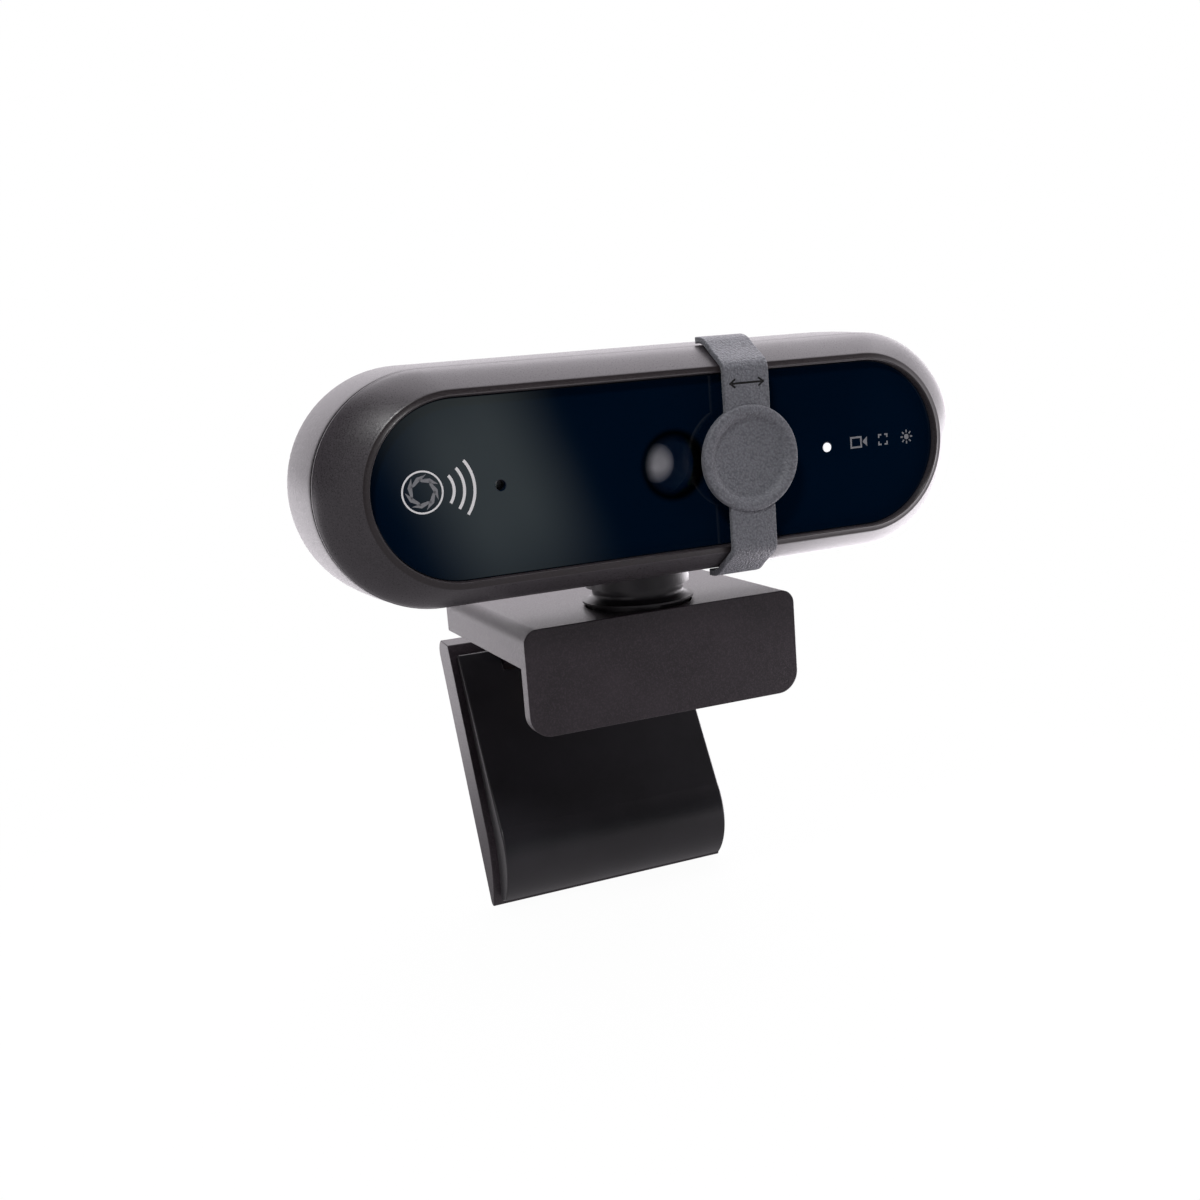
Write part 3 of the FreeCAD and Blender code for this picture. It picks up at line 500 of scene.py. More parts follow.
def round_tree():
    """Copies of one piece evenly round a circle, then turned and moved to its place."""
    tree, given, out = node_tree("repeat_round", [
        ("Piece", "NodeSocketObject", None), ("Count", "NodeSocketInt", 6),
        ("Radius", "NodeSocketFloat", 0.001), ("Turn", "NodeSocketVector", (0, 0, 0)),
        ("Place", "NodeSocketVector", (0, 0, 0)), ("Finish", "NodeSocketMaterial", None)])
    points = tree.nodes.new("GeometryNodeMeshCircle")
    piece = tree.nodes.new("GeometryNodeObjectInfo")
    number = tree.nodes.new("GeometryNodeInputIndex")
    share = tree.nodes.new("ShaderNodeMath")
    share.operation = "DIVIDE"
    angle = tree.nodes.new("ShaderNodeMath")
    angle.operation = "MULTIPLY"
    angle.inputs[1].default_value = 2 * math.pi
    spin = tree.nodes.new("ShaderNodeCombineXYZ")
    copies = tree.nodes.new("GeometryNodeInstanceOnPoints")
    placed = tree.nodes.new("GeometryNodeTransform")
    for start, end in ((given.outputs["Count"], points.inputs["Vertices"]),
                       (given.outputs["Radius"], points.inputs["Radius"]),
                       (given.outputs["Piece"], piece.inputs["Object"]),
                       (number.outputs["Index"], share.inputs[0]),
                       (given.outputs["Count"], share.inputs[1]),
                       (share.outputs["Value"], angle.inputs[0]),
                       (angle.outputs["Value"], spin.inputs["Z"]),
                       (points.outputs["Mesh"], copies.inputs["Points"]),
                       (piece.outputs["Geometry"], copies.inputs["Instance"]),
                       (spin.outputs["Vector"], copies.inputs["Rotation"]),
                       (copies.outputs["Instances"], placed.inputs["Geometry"]),
                       (given.outputs["Turn"], placed.inputs["Rotation"]),
                       (given.outputs["Place"], placed.inputs["Translation"])):
        tree.links.new(start, end)
    closing(tree, placed.outputs["Geometry"], given, out)
    return tree


def row_tree():
    """Copies of one piece in a straight row, evenly spaced."""
    tree, given, out = node_tree("repeat_in_row", [
        ("Piece", "NodeSocketObject", None), ("Count", "NodeSocketInt", 6),
        ("Start", "NodeSocketVector", (0, 0, 0)), ("Step", "NodeSocketVector", (0, 0, 0.001)),
        ("Finish", "NodeSocketMaterial", None)])
    line = tree.nodes.new("GeometryNodeMeshLine")
    piece = tree.nodes.new("GeometryNodeObjectInfo")
    copies = tree.nodes.new("GeometryNodeInstanceOnPoints")
    for start, end in ((given.outputs["Count"], line.inputs["Count"]),
                       (given.outputs["Start"], line.inputs["Start Location"]),
                       (given.outputs["Step"], line.inputs["Offset"]),
                       (given.outputs["Piece"], piece.inputs["Object"]),
                       (line.outputs["Mesh"], copies.inputs["Points"]),
                       (piece.outputs["Geometry"], copies.inputs["Instance"])):
        tree.links.new(start, end)
    closing(tree, copies.outputs["Instances"], given, out)
    return tree


def coil_tree():
    """A wire of triangular section wound up an upright axis: a screw thread or a spring."""
    tree, given, out = node_tree("wound_wire", [
        ("Radius", "NodeSocketFloat", 0.003), ("Turns", "NodeSocketFloat", 3.0),
        ("Height", "NodeSocketFloat", 0.004), ("Wire Radius", "NodeSocketFloat", 0.0004),
        ("Wire Sides", "NodeSocketInt", 3), ("Place", "NodeSocketVector", (0, 0, 0)),
        ("Finish", "NodeSocketMaterial", None)])
    line = tree.nodes.new("GeometryNodeCurveSpiral")
    line.inputs["Resolution"].default_value = 48
    section = tree.nodes.new("GeometryNodeCurvePrimitiveCircle")
    wire = tree.nodes.new("GeometryNodeCurveToMesh")
    wire.inputs["Fill Caps"].default_value = True
    placed = tree.nodes.new("GeometryNodeTransform")
    for start, end in ((given.outputs["Turns"], line.inputs["Rotations"]),
                       (given.outputs["Radius"], line.inputs["Start Radius"]),
                       (given.outputs["Radius"], line.inputs["End Radius"]),
                       (given.outputs["Height"], line.inputs["Height"]),
                       (given.outputs["Wire Sides"], section.inputs["Resolution"]),
                       (given.outputs["Wire Radius"], section.inputs["Radius"]),
                       (line.outputs["Curve"], wire.inputs["Curve"]),
                       (section.outputs["Curve"], wire.inputs["Profile Curve"]),
                       (wire.outputs["Mesh"], placed.inputs["Geometry"]),
                       (given.outputs["Place"], placed.inputs["Translation"])):
        tree.links.new(start, end)
    closing(tree, placed.outputs["Geometry"], given, out)
    return tree


def grown(name, tree, values):
    """Plain mesh object that a tree grows from its named values; a copied piece is used up."""
    maker = piece_of(name + "_maker", bpy.data.meshes.new(name + "_seed"))
    growth = maker.modifiers.new("growth", "NODES")
    growth.node_group = tree
    for item in tree.interface.items_tree:
        if item.item_type == "SOCKET" and item.in_out == "INPUT" and item.name in values:
            growth[item.identifier] = values[item.name]
    bpy.context.view_layer.update()
    mesh = bpy.data.meshes.new_from_object(maker.evaluated_get(bpy.context.evaluated_depsgraph_get()))
    bpy.data.objects.remove(maker)
    if "Piece" in values:
        bpy.data.objects.remove(values["Piece"])
    mesh.name = name
    return piece_of(name, mesh)


def merged(name, pieces):
    """One object from several plain ones, with the first one's finishes."""
    bm = bmesh.new()
    for piece in pieces:
        bm.from_mesh(piece.data)
    finishes = list(pieces[0].data.materials)
    for piece in pieces:
        bpy.data.objects.remove(piece)
    made = settled(name, bm, 8)
    for finish in finishes:
        made.data.materials.append(finish)
    return made


def ink_finish():
    """Screen-printed pale ink, a little uneven."""
    finish, tree, surface, where = new_finish("pale_print_ink")
    grain = noise(tree, where, 0.12 * mm, 2.0)
    tree.links.new(mixed(tree, ranged(tree, grain, 0, 1), (0.17, 0.175, 0.19), (0.25, 0.255, 0.27)),
                   surface.inputs["Base Color"])
    tree.links.new(ranged(tree, grain, 0.45, 0.6), surface.inputs["Roughness"])
    return finish


def film(name, outlines, x=0.0, z=0.0):
    """Ink film of an outline given about its own middle, on the glass at a place along it."""
    made = slab(name, outlines, ink_front, ink_front + ink_t, 0.001 * mm,
                lambda a, b, depth: (x + a, depth, z + b))
    made.data.materials.append(ink)
    return made


def flat_film(name, outline):
    """Ink film lying flat about the origin, to be copied by a tree and stood up afterwards."""
    return slab(name, [outline], -ink_t / 2, ink_t / 2, 0.001 * mm, lambda a, b, depth: (a, b, depth))


def arc_band(radius, width, start, end, steps=24):
    """Outline of a band along an arc, in degrees."""
    angles = [math.radians(start + (end - start) * i / steps) for i in range(steps + 1)]
    outer = [((radius + width) * math.cos(a), (radius + width) * math.sin(a)) for a in angles]
    inner = [(radius * math.cos(a), radius * math.sin(a)) for a in angles]
    return outer + inner[::-1]


def bar(x0, x1, z0, z1):
    """Outline of an upright rectangle."""
    return [(x0, z0), (x1, z0), (x1, z1), (x0, z1)]


ink = ink_finish()
repeat_round = round_tree()
repeat_in_row = row_tree()
wound_wire = coil_tree()
upright = (math.pi / 2, 0, 0)
ink_y = ink_front + ink_t / 2
blade = flat_film("blade", [(0.62 * mm, -1.25 * mm), (0.62 * mm, 0.2 * mm), (-0.45 * mm, 1.5 * mm),
                            (-0.45 * mm, 0.9 * mm)])
iris = grown("iris_blades", repeat_round,
             {"Piece": blade, "Count": 7, "Radius": 1.55 * mm, "Turn": upright,
              "Place": (iris_x, ink_y, mark_z), "Finish": ink})
arcs = [film("arc", [arc_band(radius * mm, 0.42 * mm, -38, 38)], iris_x + 1.4 * mm, mark_z)
        for radius in (2.9, 4.4, 5.9)]
arcs.append(film("iris_rim", [circle_outline(0, 0, 3.0 * mm), circle_outline(0, 0, 2.75 * mm)],
                 iris_x, mark_z))
left_mark = merged("printed_iris_mark", [iris] + arcs)
camera_mark = [
    film("body", [bar(-1.5 * mm, 0.6 * mm, -0.9 * mm, 0.9 * mm),
                  bar(-1.22 * mm, 0.32 * mm, -0.62 * mm, 0.62 * mm)], camera_x, mark_z),
    film("horn", [[(0.8 * mm, -0.1 * mm), (1.55 * mm, -0.75 * mm), (1.55 * mm, 0.75 * mm),
                   (0.8 * mm, 0.1 * mm)]], camera_x, mark_z)]
corner_arm, corner_w = 0.6 * mm, 0.25 * mm
corner = flat_film("corner", [((a + b) * math.sqrt(0.5), (b - a) * math.sqrt(0.5)) for a, b in (
    (0, 0), (0, -corner_arm), (-corner_w, -corner_arm), (-corner_w, -corner_w),
    (-corner_arm, -corner_w), (-corner_arm, 0))])
frame_mark = grown("frame_corners", repeat_round,
                   {"Piece": corner, "Count": 4, "Radius": 1.25 * mm, "Turn": (math.pi / 2, math.pi / 4, 0),
                    "Place": (frame_x, ink_y, mark_z), "Finish": ink})
ray = flat_film("ray", bar(-0.14 * mm, 0.3 * mm, -0.12 * mm, 0.12 * mm))
rays = grown("rays", repeat_round,
             {"Piece": ray, "Count": 8, "Radius": 0.8 * mm, "Turn": upright,
              "Place": (rays_x, ink_y, mark_z), "Finish": ink})
rays_disc = film("rays_disc", [circle_outline(0, 0, 0.42 * mm)], rays_x, mark_z)
right_mark = merged("printed_camera_mark", camera_mark + [frame_mark, rays, rays_disc])
for mark in (left_mark, right_mark):
    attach(mark, "head")

# ---- privacy cover --------------------------------------------------------------------------------
# Soft-touch moulded strap that hooks over the bezel above and below and slides along it. Its disc is
# dished for a fingertip, and a double-headed arrow is sunk into the upper arm.

cover_low, cover_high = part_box("privacy_cover")
cover_x = (cover_low.x + cover_high.x) / 2
disc_r = (cover_high.x - cover_low.x) / 2
disc_front = cover_low.y
strap_w = 7.5 * mm
strap_t = 1.0 * mm
strap_face = disc_front + 0.45 * mm
dish_r = disc_r - 1.1 * mm
dish_depth = 1.05 * mm


def rounded(points, radius, steps=7):
    """Polyline with its corners turned as arcs."""
    path = [Vector(points[0])]
    for before, corner, after in zip(points, points[1:], points[2:]):
        corner = Vector(corner)
        back, on = Vector(before) - corner, Vector(after) - corner
        reach = min(radius, back.length * 0.45, on.length * 0.45)
        start, end = corner + back.normalized() * reach, corner + on.normalized() * reach
        for i in range(steps + 1):
            t = i / steps
            path.append((1 - t) ** 2 * start + 2 * t * (1 - t) * corner + t * t * end)
    path.append(Vector(points[-1]))
    return path


def thickened(path, thickness):
    """Closed outline on both sides of a path, with a round nose at each end."""
    sides = ([], [])
    for i, point in enumerate(path):
        along = (path[min(i + 1, len(path) - 1)] - path[max(i - 1, 0)]).normalized()
        across = Vector((-along.y, along.x)) * thickness / 2
        sides[0].append(point + across)
        sides[1].append(point - across)
    return [tuple(p) for p in sides[0] + sides[1][::-1]]


def strap_outline():
    """Side view of the strap, in y and height, from the upper hook to the lower one."""
    half_t = strap_t / 2
    upper = [(0.45, 17.72), (-0.9, 17.74), (-2.4, 17.35), (-4.6, 15.75), (-6.1, 14.85)]
    side = [Vector((seam_y + y * mm, z * mm)) for y, z in upper]
    side.append(Vector((strap_face + half_t, 13.75 * mm)))
    lower = [Vector((p.x, -p.y)) for p in side[::-1]]
    return thickened(rounded(side + lower, 0.8 * mm), strap_t)


def disc_rings():
    """Rings of the finger disc: back face, rolled rim and dished front."""
    back_y = strap_face + strap_t * 0.95
    roll_r = 0.42 * mm
    profile = [(0.5 * mm, back_y), (disc_r - 0.25 * mm, back_y), (disc_r, back_y - 0.2 * mm)]
    for i in range(7):
        turned = math.pi / 2 * i / 6
        profile.append((disc_r - roll_r + roll_r * math.cos(turned),
                        disc_front + roll_r - roll_r * math.sin(turned)))
    steps = 40
    for i in range(steps):
        t = i / steps
        step = min(1, t / 0.17)
        fall = dish_depth * (0.66 * step * step * (3 - 2 * step) + 0.34 * (1 - (1 - t) ** 2))
        profile.append((dish_r * (1 - t) + 0.02 * mm, disc_front + fall))
    sides = 96
    return [[(cover_x + radius * math.cos(2 * math.pi * i / sides), y,
              head_z + radius * math.sin(2 * math.pi * i / sides)) for i in range(sides)]
            for radius, y in profile]


def stroke(start, end, width, front, back):
    """Thin block of one straight stroke of the arrow between two depths."""
    start, end = Vector(start), Vector(end)
    along = (end - start).normalized()
    across = Vector((-along.y, along.x)) * width / 2
    start, end = start - along * width / 2, end + along * width / 2
    corners = [start + across, end + across, end - across, start - across]
    rings = [[(c.x, y, head_z + c.y) for c in corners] for y in (front, back)]
    return skin("stroke", rings)


def arrow_strokes():
    """Ends of the shaft and of the four barbs of the double-headed arrow."""
    height = 11.1 * mm
    reach, barb = 2.75 * mm, 0.72 * mm
    strokes = [((cover_x - reach, height), (cover_x + reach, height))]
    for side in (-1, 1):
        tip_x = cover_x + side * reach
        for up in (-1, 1):
            strokes.append(((tip_x, height), (tip_x - side * barb, height + up * barb * 0.75)))
    return strokes


def cover_finish():
    """Mid-grey soft-touch paint with a fine leather grain, its creases coloured darker as painted shade."""
    finish, tree, surface, where = new_finish("grained_soft_touch")
    cells = tree.nodes.new("ShaderNodeTexVoronoi")
    cells.feature = "SMOOTH_F1"
    cells.inputs["Scale"].default_value = 1 / (0.3 * mm)
    bent = tree.nodes.new("ShaderNodeVectorMath")
    bent.operation = "MULTIPLY_ADD"
    wander = tree.nodes.new("ShaderNodeTexNoise")
    wander.inputs["Scale"].default_value = 1 / (0.9 * mm)
    tree.links.new(where, wander.inputs["Vector"])
    tree.links.new(wander.outputs["Color"], bent.inputs[0])
    bent.inputs[1].default_value = (0.5 * mm, 0.5 * mm, 0.15 * mm)
    tree.links.new(where, bent.inputs[2])
    tree.links.new(bent.outputs["Vector"], cells.inputs["Vector"])
    fine = noise(tree, where, 0.14 * mm, 2.0)
    creases = ranged(tree, cells.outputs["Distance"], 0, 1, 0.15, 0.75)
    # Painted shade: the colour darkens along the grain's creases and is lighter on its crests.
    tree.links.new(mixed(tree, ranged(tree, creases, 0.85, 0.1, 0, 1), (0.082, 0.086, 0.098),
                         (0.188, 0.195, 0.216)), surface.inputs["Base Color"])
    tree.links.new(ranged(tree, fine, 0.5, 0.66), surface.inputs["Roughness"])
    hills = bumped(tree, surface, ranged(tree, creases, 1, 0, 0, 1), 0.09 * mm)
    bumped(tree, surface, fine, 0.02 * mm, hills)
    surface.inputs["Sheen Weight"].default_value = 0.12
    surface.inputs["Sheen Roughness"].default_value = 0.4
    return finish


disc_bore = round_bar("disc_bore", disc_r - 0.7 * mm, (cover_x, strap_face - mm, head_z),
                      (cover_x, strap_face + 2 * mm, head_z))
strap = slab("strap", [strap_outline()], cover_x - strap_w / 2, cover_x + strap_w / 2, 0.22 * mm,
             lambda a, b, depth: (depth, a, head_z + b), 30)
strap = shaped(strap, "DIFFERENCE", [disc_bore])
disc = skin("disc", disc_rings())
privacy_cover = shaped(strap, "UNION", [disc])
cuts = [stroke(a, b, 0.32 * mm, strap_face - mm, strap_face + 0.24 * mm) for a, b in arrow_strokes()]
privacy_cover = shaped(privacy_cover, "DIFFERENCE", cuts)
privacy_cover.name = "privacy_cover_strap"
privacy_cover.modifiers.new("flats", "WEIGHTED_NORMAL").keep_sharp = True
privacy_cover.data.materials.append(cover_finish())
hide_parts("privacy_cover")
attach(privacy_cover, "cover")

fills = [stroke(a, b, 0.28 * mm, strap_face + 0.1 * mm, strap_face + 0.23 * mm)
         for a, b in arrow_strokes()]
arrow_fill = shaped(fills[0], "UNION", fills[1:])
arrow_fill.name = "privacy_cover_arrow"


def plain_finish(name, dark, light, size, roughness, metal=0.0):
    """Even material with slight clouding of its colour and gloss."""
    finish, tree, surface, where = new_finish(name)
    clouds = noise(tree, where, size, 3.0)
    tree.links.new(mixed(tree, ranged(tree, clouds, 0, 1), dark, light), surface.inputs["Base Color"])
    tree.links.new(ranged(tree, clouds, roughness - 0.06, roughness + 0.06),
                   surface.inputs["Roughness"])
    bumped(tree, surface, clouds, 0.002 * mm)
    surface.inputs["Metallic"].default_value = metal
    return finish


arrow_fill.data.materials.append(
    plain_finish("black_arrow_fill", (0.002, 0.002, 0.002), (0.006, 0.006, 0.006), 0.1 * mm, 0.6))
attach(arrow_fill, "cover")

# ---- clip bracket ---------------------------------------------------------------------------------
# Top plate and front lip in one matte moulding, brownish black. Its edges are broken to a fine
# radius; the shape is the CAD piece's own.


def softened(name, node, edge, crease=30, segments=3):
    """Copy of a CAD node with its flats made whole and its sharp edges rolled to a radius."""
    bm = bmesh.new()
    bm.from_mesh(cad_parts[node].data)
    bmesh.ops.remove_doubles(bm, verts=bm.verts, dist=1e-6)
    bmesh.ops.dissolve_limit(bm, angle_limit=math.radians(0.6), verts=bm.verts, edges=bm.edges)
    made = settled(name, bm, crease)
    if edge:
        roll_over = made.modifiers.new("edges", "BEVEL")
        roll_over.width = edge
        roll_over.segments = segments
        roll_over.limit_method = "ANGLE"
        roll_over.angle_limit = math.radians(crease)
        roll_over.harden_normals = False
        made.modifiers.new("flats", "WEIGHTED_NORMAL").keep_sharp = True
    return made


clip_finish = spark_plastic("brown_black_matte_plastic", (0.013, 0.0092, 0.012),
                            (0.046, 0.034, 0.043), 0.26 * mm, 0.035 * mm, 0.42)
clip_bracket = softened("clip_bracket_moulding", "clip_bracket", 0.3 * mm)
clip_bracket.data.materials.append(clip_finish)
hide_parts("clip_bracket")
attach(clip_bracket, "clip")

# ---- leg ------------------------------------------------------------------------------------------
# Rear jaw: a hard shell hinged under the plate, with a soft pad on its front that swells above the
# toe and curls round it.

leg_shell = softened("leg_shell_moulding", "leg_shell", 0.3 * mm)
leg_shell.data.materials.append(clip_finish)
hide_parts("leg_shell")
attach(leg_shell, "leg")


def rubber_finish(name, dark, light, roughness):
    """Soft rubber: satin, with faint clouding and a very fine grain."""
    finish, tree, surface, where = new_finish(name)
    fine = noise(tree, where, 0.3 * mm, 2.0)
    clouds = noise(tree, where, 11 * mm, 3.0)
    tree.links.new(mixed(tree, ranged(tree, clouds, 0, 1), dark, light), surface.inputs["Base Color"])
    tree.links.new(ranged(tree, fine, roughness - 0.05, roughness + 0.06),
                   surface.inputs["Roughness"])
    waves = bumped(tree, surface, noise(tree, where, 4 * mm, 1.0), 0.012 * mm)
    bumped(tree, surface, fine, 0.01 * mm, waves)
    surface.inputs["Sheen Weight"].default_value = 0.05
    return finish


pad_rubber = rubber_finish("satin_black_rubber", (0.0065, 0.006, 0.008), (0.013, 0.012, 0.0155), 0.34)
leg_pad = softened("leg_pad_rubber", "leg_pad", 0.3 * mm)
leg_pad.data.materials.append(pad_rubber)
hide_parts("leg_pad")
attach(leg_pad, "leg")

# ---- neck -----------------------------------------------------------------------------------------
# Satin black ball with a flared foot, under the collar that is screwed inside the head.


def gloss_finish():
    """Satin black plastic with faint handling haze."""
    finish, tree, surface, where = new_finish("polished_black_plastic")
    haze = noise(tree, where, 3 * mm, 3.0)
    tree.links.new(mixed(tree, haze, (0.010, 0.009, 0.011), (0.02, 0.018, 0.021)),
                   surface.inputs["Base Color"])
    tree.links.new(ranged(tree, haze, 0.34, 0.46), surface.inputs["Roughness"])
    bumped(tree, surface, noise(tree, where, 1.2 * mm, 1.0), 0.002 * mm)
    return finish


neck_finish = gloss_finish()
for name, node, body in (("neck_ball_gloss", "neck_ball", "neck"),
                         ("neck_collar_gloss", "neck_collar", "head")):
    neck_piece = softened(name, node, 0)
    neck_piece.data.materials.append(neck_finish)
    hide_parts(node)
    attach(neck_piece, body)

# ---- rubber pads ----------------------------------------------------------------------------------
# Moulded pads glued in the plate's and the lip's pockets. Each has fine grip ribs across its face.

grip_rubber = rubber_finish("grip_rubber", (0.008, 0.0075, 0.009), (0.017, 0.016, 0.019), 0.55)
rib_r = 0.16 * mm
rib_side_gap = 5 * mm
rest_rib_edge, rest_rib_step = 1.2 * mm, 0.8 * mm
lip_rib_edge = 1.4 * mm


def rib(length):
    """Half-sunk round rib along X, about the origin."""
    return round_bar("rib", rib_r, (-length / 2, 0, 0), (length / 2, 0, 0), 12)


for node, ribs, across in (("rest_pad", 4, "y"), ("lip_pad", 5, "z")):
    low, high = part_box(node)
    pad = softened(node + "_rubber", node, 0.12 * mm)
    pad.data.materials.append(grip_rubber)
    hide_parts(node)
    if across == "y":
        start = (0, low.y + rest_rib_edge, low.z)
        step = (0, rest_rib_step, 0)
    else:
        start = (0, high.y, low.z + lip_rib_edge)
        step = (0, 0, (high.z - low.z - 2 * lip_rib_edge) / (ribs - 1))
    grip = grown(node + "_ribs", repeat_in_row,
                 {"Piece": rib(high.x - low.x - rib_side_gap), "Count": ribs, "Start": start, "Step": step,
                  "Finish": grip_rubber})
    for piece in (pad, grip):
        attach(piece, "clip")

# ---- tripod insert --------------------------------------------------------------------------------
# Turned brass bush moulded into the plate, with a quarter-inch thread, twenty turns to the inch.

insert_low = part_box("tripod_insert")[0]
thread_r = 3.175 * mm
thread_pitch = 1.27 * mm
thread_turns = 3.0
brass = plain_finish("turned_brass", (0.46, 0.32, 0.13), (0.60, 0.44, 0.20), 1.5 * mm, 0.3, 1.0)
insert = softened("tripod_insert_bush", "tripod_insert", 0.2 * mm)
insert.data.materials.append(brass)
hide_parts("tripod_insert")
thread = grown("tripod_insert_thread", wound_wire,
               {"Radius": thread_r - 0.05 * mm, "Turns": thread_turns, "Wire Radius": 0.42 * mm,
                "Height": thread_turns * thread_pitch, "Wire Sides": 3,
                "Place": (0, 0, insert_low.z + 0.3 * mm), "Finish": brass})
for piece in (insert, thread):
    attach(piece, "clip")

# ---- lens and lamp --------------------------------------------------------------------------------
# What shows through the glass: a black barrel with a stepped funnel round a coated first lens, and the
# milky end of the lamp's light pipe. A faint glow stands in for light scattered by lens and barrel.


def glowing(name, colour, strength, size):
    """Milky plastic lit from behind, brightest in its clouds."""
    finish, tree, surface, where = new_finish(name)
    clouds = noise(tree, where, size, 2.0)
    tree.links.new(mixed(tree, clouds, (0.7, 0.71, 0.72), (0.85, 0.86, 0.87)),
                   surface.inputs["Base Color"])
    tree.links.new(ranged(tree, clouds, 0.3, 0.45), surface.inputs["Roughness"])
    surface.inputs["Emission Color"].default_value = (*colour, 1)
    surface.inputs["Emission Strength"].default_value = strength
    return finish


def lens_coating():
    """Coated lens: a painted grey reflection and glow over its middle that dies away to a violet edge."""
    finish, tree, surface, where = new_finish("coated_lens")
    reach = from_lens_axis(tree, where)
    # The haze mask paints the lens's middle grey in base colour and emission: a painted reflection and
    # glow, fading to a faint painted violet glow at the edge.
    haze = ranged(tree, reach, 1, 0, 1.0 * mm, 3.4 * mm)
    tree.links.new(mixed(tree, haze, (0.02, 0.02, 0.05), (0.5, 0.5, 0.52)),
                   surface.inputs["Base Color"])
    tree.links.new(mixed(tree, haze, (0.0, 0.003, 0.012), (0.115, 0.112, 0.12)),
                   surface.inputs["Emission Color"])
    surface.inputs["Emission Strength"].default_value = 1
    surface.inputs["Roughness"].default_value = 0.1
    surface.inputs["Coat Weight"].default_value = 1
    return finish


def board_finish(name, mask, copper):
    """Circuit board: green-black mask over a net of copper tracks, with drilled dots."""
    finish, tree, surface, where = new_finish(name)
    tracks = tree.nodes.new("ShaderNodeTexBrick")
    tracks.inputs["Scale"].default_value = 1 / (4 * mm)
    tracks.inputs["Mortar Size"].default_value = 0.03
    mapping = tree.nodes.new("ShaderNodeMapping")
    mapping.inputs["Rotation"].default_value = (math.pi / 2, 0, 0)
    tree.links.new(where, mapping.inputs["Vector"])
    tree.links.new(mapping.outputs["Vector"], tracks.inputs["Vector"])
    tree.links.new(mixed(tree, tracks.outputs["Fac"], mask, copper), surface.inputs["Base Color"])
    clouds = noise(tree, where, 3 * mm, 2.0)
    tree.links.new(ranged(tree, clouds, 0.3, 0.42), surface.inputs["Roughness"])
    bumped(tree, surface, tracks.outputs["Fac"], 0.02 * mm)
    return finish


barrel_black = plain_finish("anodised_black", (0.006, 0.006, 0.007), (0.016, 0.016, 0.018), 0.6 * mm,
                            0.42, 0.3)
barrel_surface = barrel_black.node_tree.nodes["Principled BSDF"]
# The barrel's faint blue glow is painted light, standing in for light scattered off the coated lenses.
painted_glow_blue = (0.0, 0.0022, 0.0085, 1)
barrel_surface.inputs["Emission Color"].default_value = painted_glow_blue
barrel_surface.inputs["Emission Strength"].default_value = 1
coated = lens_coating()
lamp_white = glowing("lit_lamp_plastic", (0.93, 0.95, 1.0), 0.55, 0.4 * mm)
bright_steel = plain_finish("bright_steel", (0.42, 0.42, 0.43), (0.55, 0.55, 0.56), 0.7 * mm, 0.3, 1.0)
white_nylon = plain_finish("white_nylon", (0.62, 0.61, 0.57), (0.74, 0.73, 0.69), 2 * mm, 0.42)
tape_foam = plain_finish("black_foam_tape", (0.008, 0.008, 0.008), (0.02, 0.02, 0.02), 0.3 * mm, 0.85)
chip_black = plain_finish("moulded_chip_resin", (0.012, 0.012, 0.013), (0.03, 0.03, 0.031), 0.3 * mm,
                          0.5)
green_board = board_finish("green_board", (0.004, 0.045, 0.018), (0.05, 0.13, 0.05))
filter_glass = plain_finish("blue_filter_glass", (0.02, 0.10, 0.16), (0.04, 0.15, 0.22), 1 * mm, 0.08)
sensor_face = plain_finish("sensor_face", (0.05, 0.03, 0.09), (0.02, 0.07, 0.09), 0.8 * mm, 0.15)

carried_over = (
    (barrel_black, ("lens_barrel", "lens_holder")),
    (coated, ("front_lens", "rear_lens")),
    (lamp_white, ("light_pipe", "status_led")),
    (bright_steel, ("hinge_pin", "pan_screw", "spring_washer", "tilt_stud", "clamp_cap",
                    "clamp_spring", "clamp_nut", "bezel_screws", "board_screws", "collar_screws",
                    "microphone")),
    (white_nylon, ("pan_washer", "cable_header")),
    (tape_foam, ("glass_tape",)),
    (grip_rubber, ("microphone_boot",)),
    (green_board, ("front_board", "sensor_board")),
    (chip_black, ("video_chip",)),
    (sensor_face, ("image_sensor",)),
    (filter_glass, ("infrared_filter",)),
)
for finish, nodes in carried_over:
    for node in nodes:
        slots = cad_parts[node].material_slots
        for slot in slots:
            slot.material = finish

# ---- cable gland ----------------------------------------------------------------------------------
# Rubber gland in the rear face, ribbed round its rim where a lead would come out.

gland = softened("cable_gland_rubber", "cable_grommet", 0.2 * mm)
gland.data.materials.append(grip_rubber)
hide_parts("cable_grommet")
gland_rib = round_bar("gland_rib", 0.22 * mm, (0, -0.9 * mm, 0), (0, 0.9 * mm, 0), 10)
gland_ribs = grown("cable_gland_ribs", repeat_round,
                   {"Piece": gland_rib, "Count": 12, "Radius": 3.2 * mm, "Turn": upright,
                    "Place": (grommet_x, grommet_high.y, grommet_z), "Finish": grip_rubber})
for piece in (gland, gland_ribs):
    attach(piece, "head")

# ---- stage and light ------------------------------------------------------------------------------
# White floor and white surroundings, a small soft light above the front left, a dark card that keeps
# the glass black and a pale one that lays a soft patch on its left end.

floor_mesh = bpy.data.meshes.new("floor")
floor_z = cad_low.z - 0.2 * mm
floor_mesh.from_pydata([(-3, -3, floor_z), (3, -3, floor_z), (3, 3, floor_z), (-3, 3, floor_z)],
                       [], [(0, 1, 2, 3)])
floor = piece_of("floor", floor_mesh)
room_tint = (1.0, 0.95, 1.0)


def eased(tree, value, low, high, from_low, from_high):
    """The value eased smoothly from low to high between two limits."""
    result = ranged(tree, value, low, high, from_low, from_high)
    result.node.interpolation_type = "SMOOTHSTEP"
    return result


def summed(tree, values):
    """Sum of several values."""
    total = values[0]
    for value in values[1:]:
        node = tree.nodes.new("ShaderNodeMath")
        tree.links.new(total, node.inputs[0])
        tree.links.new(value, node.inputs[1])
        total = node.outputs["Value"]
    return total


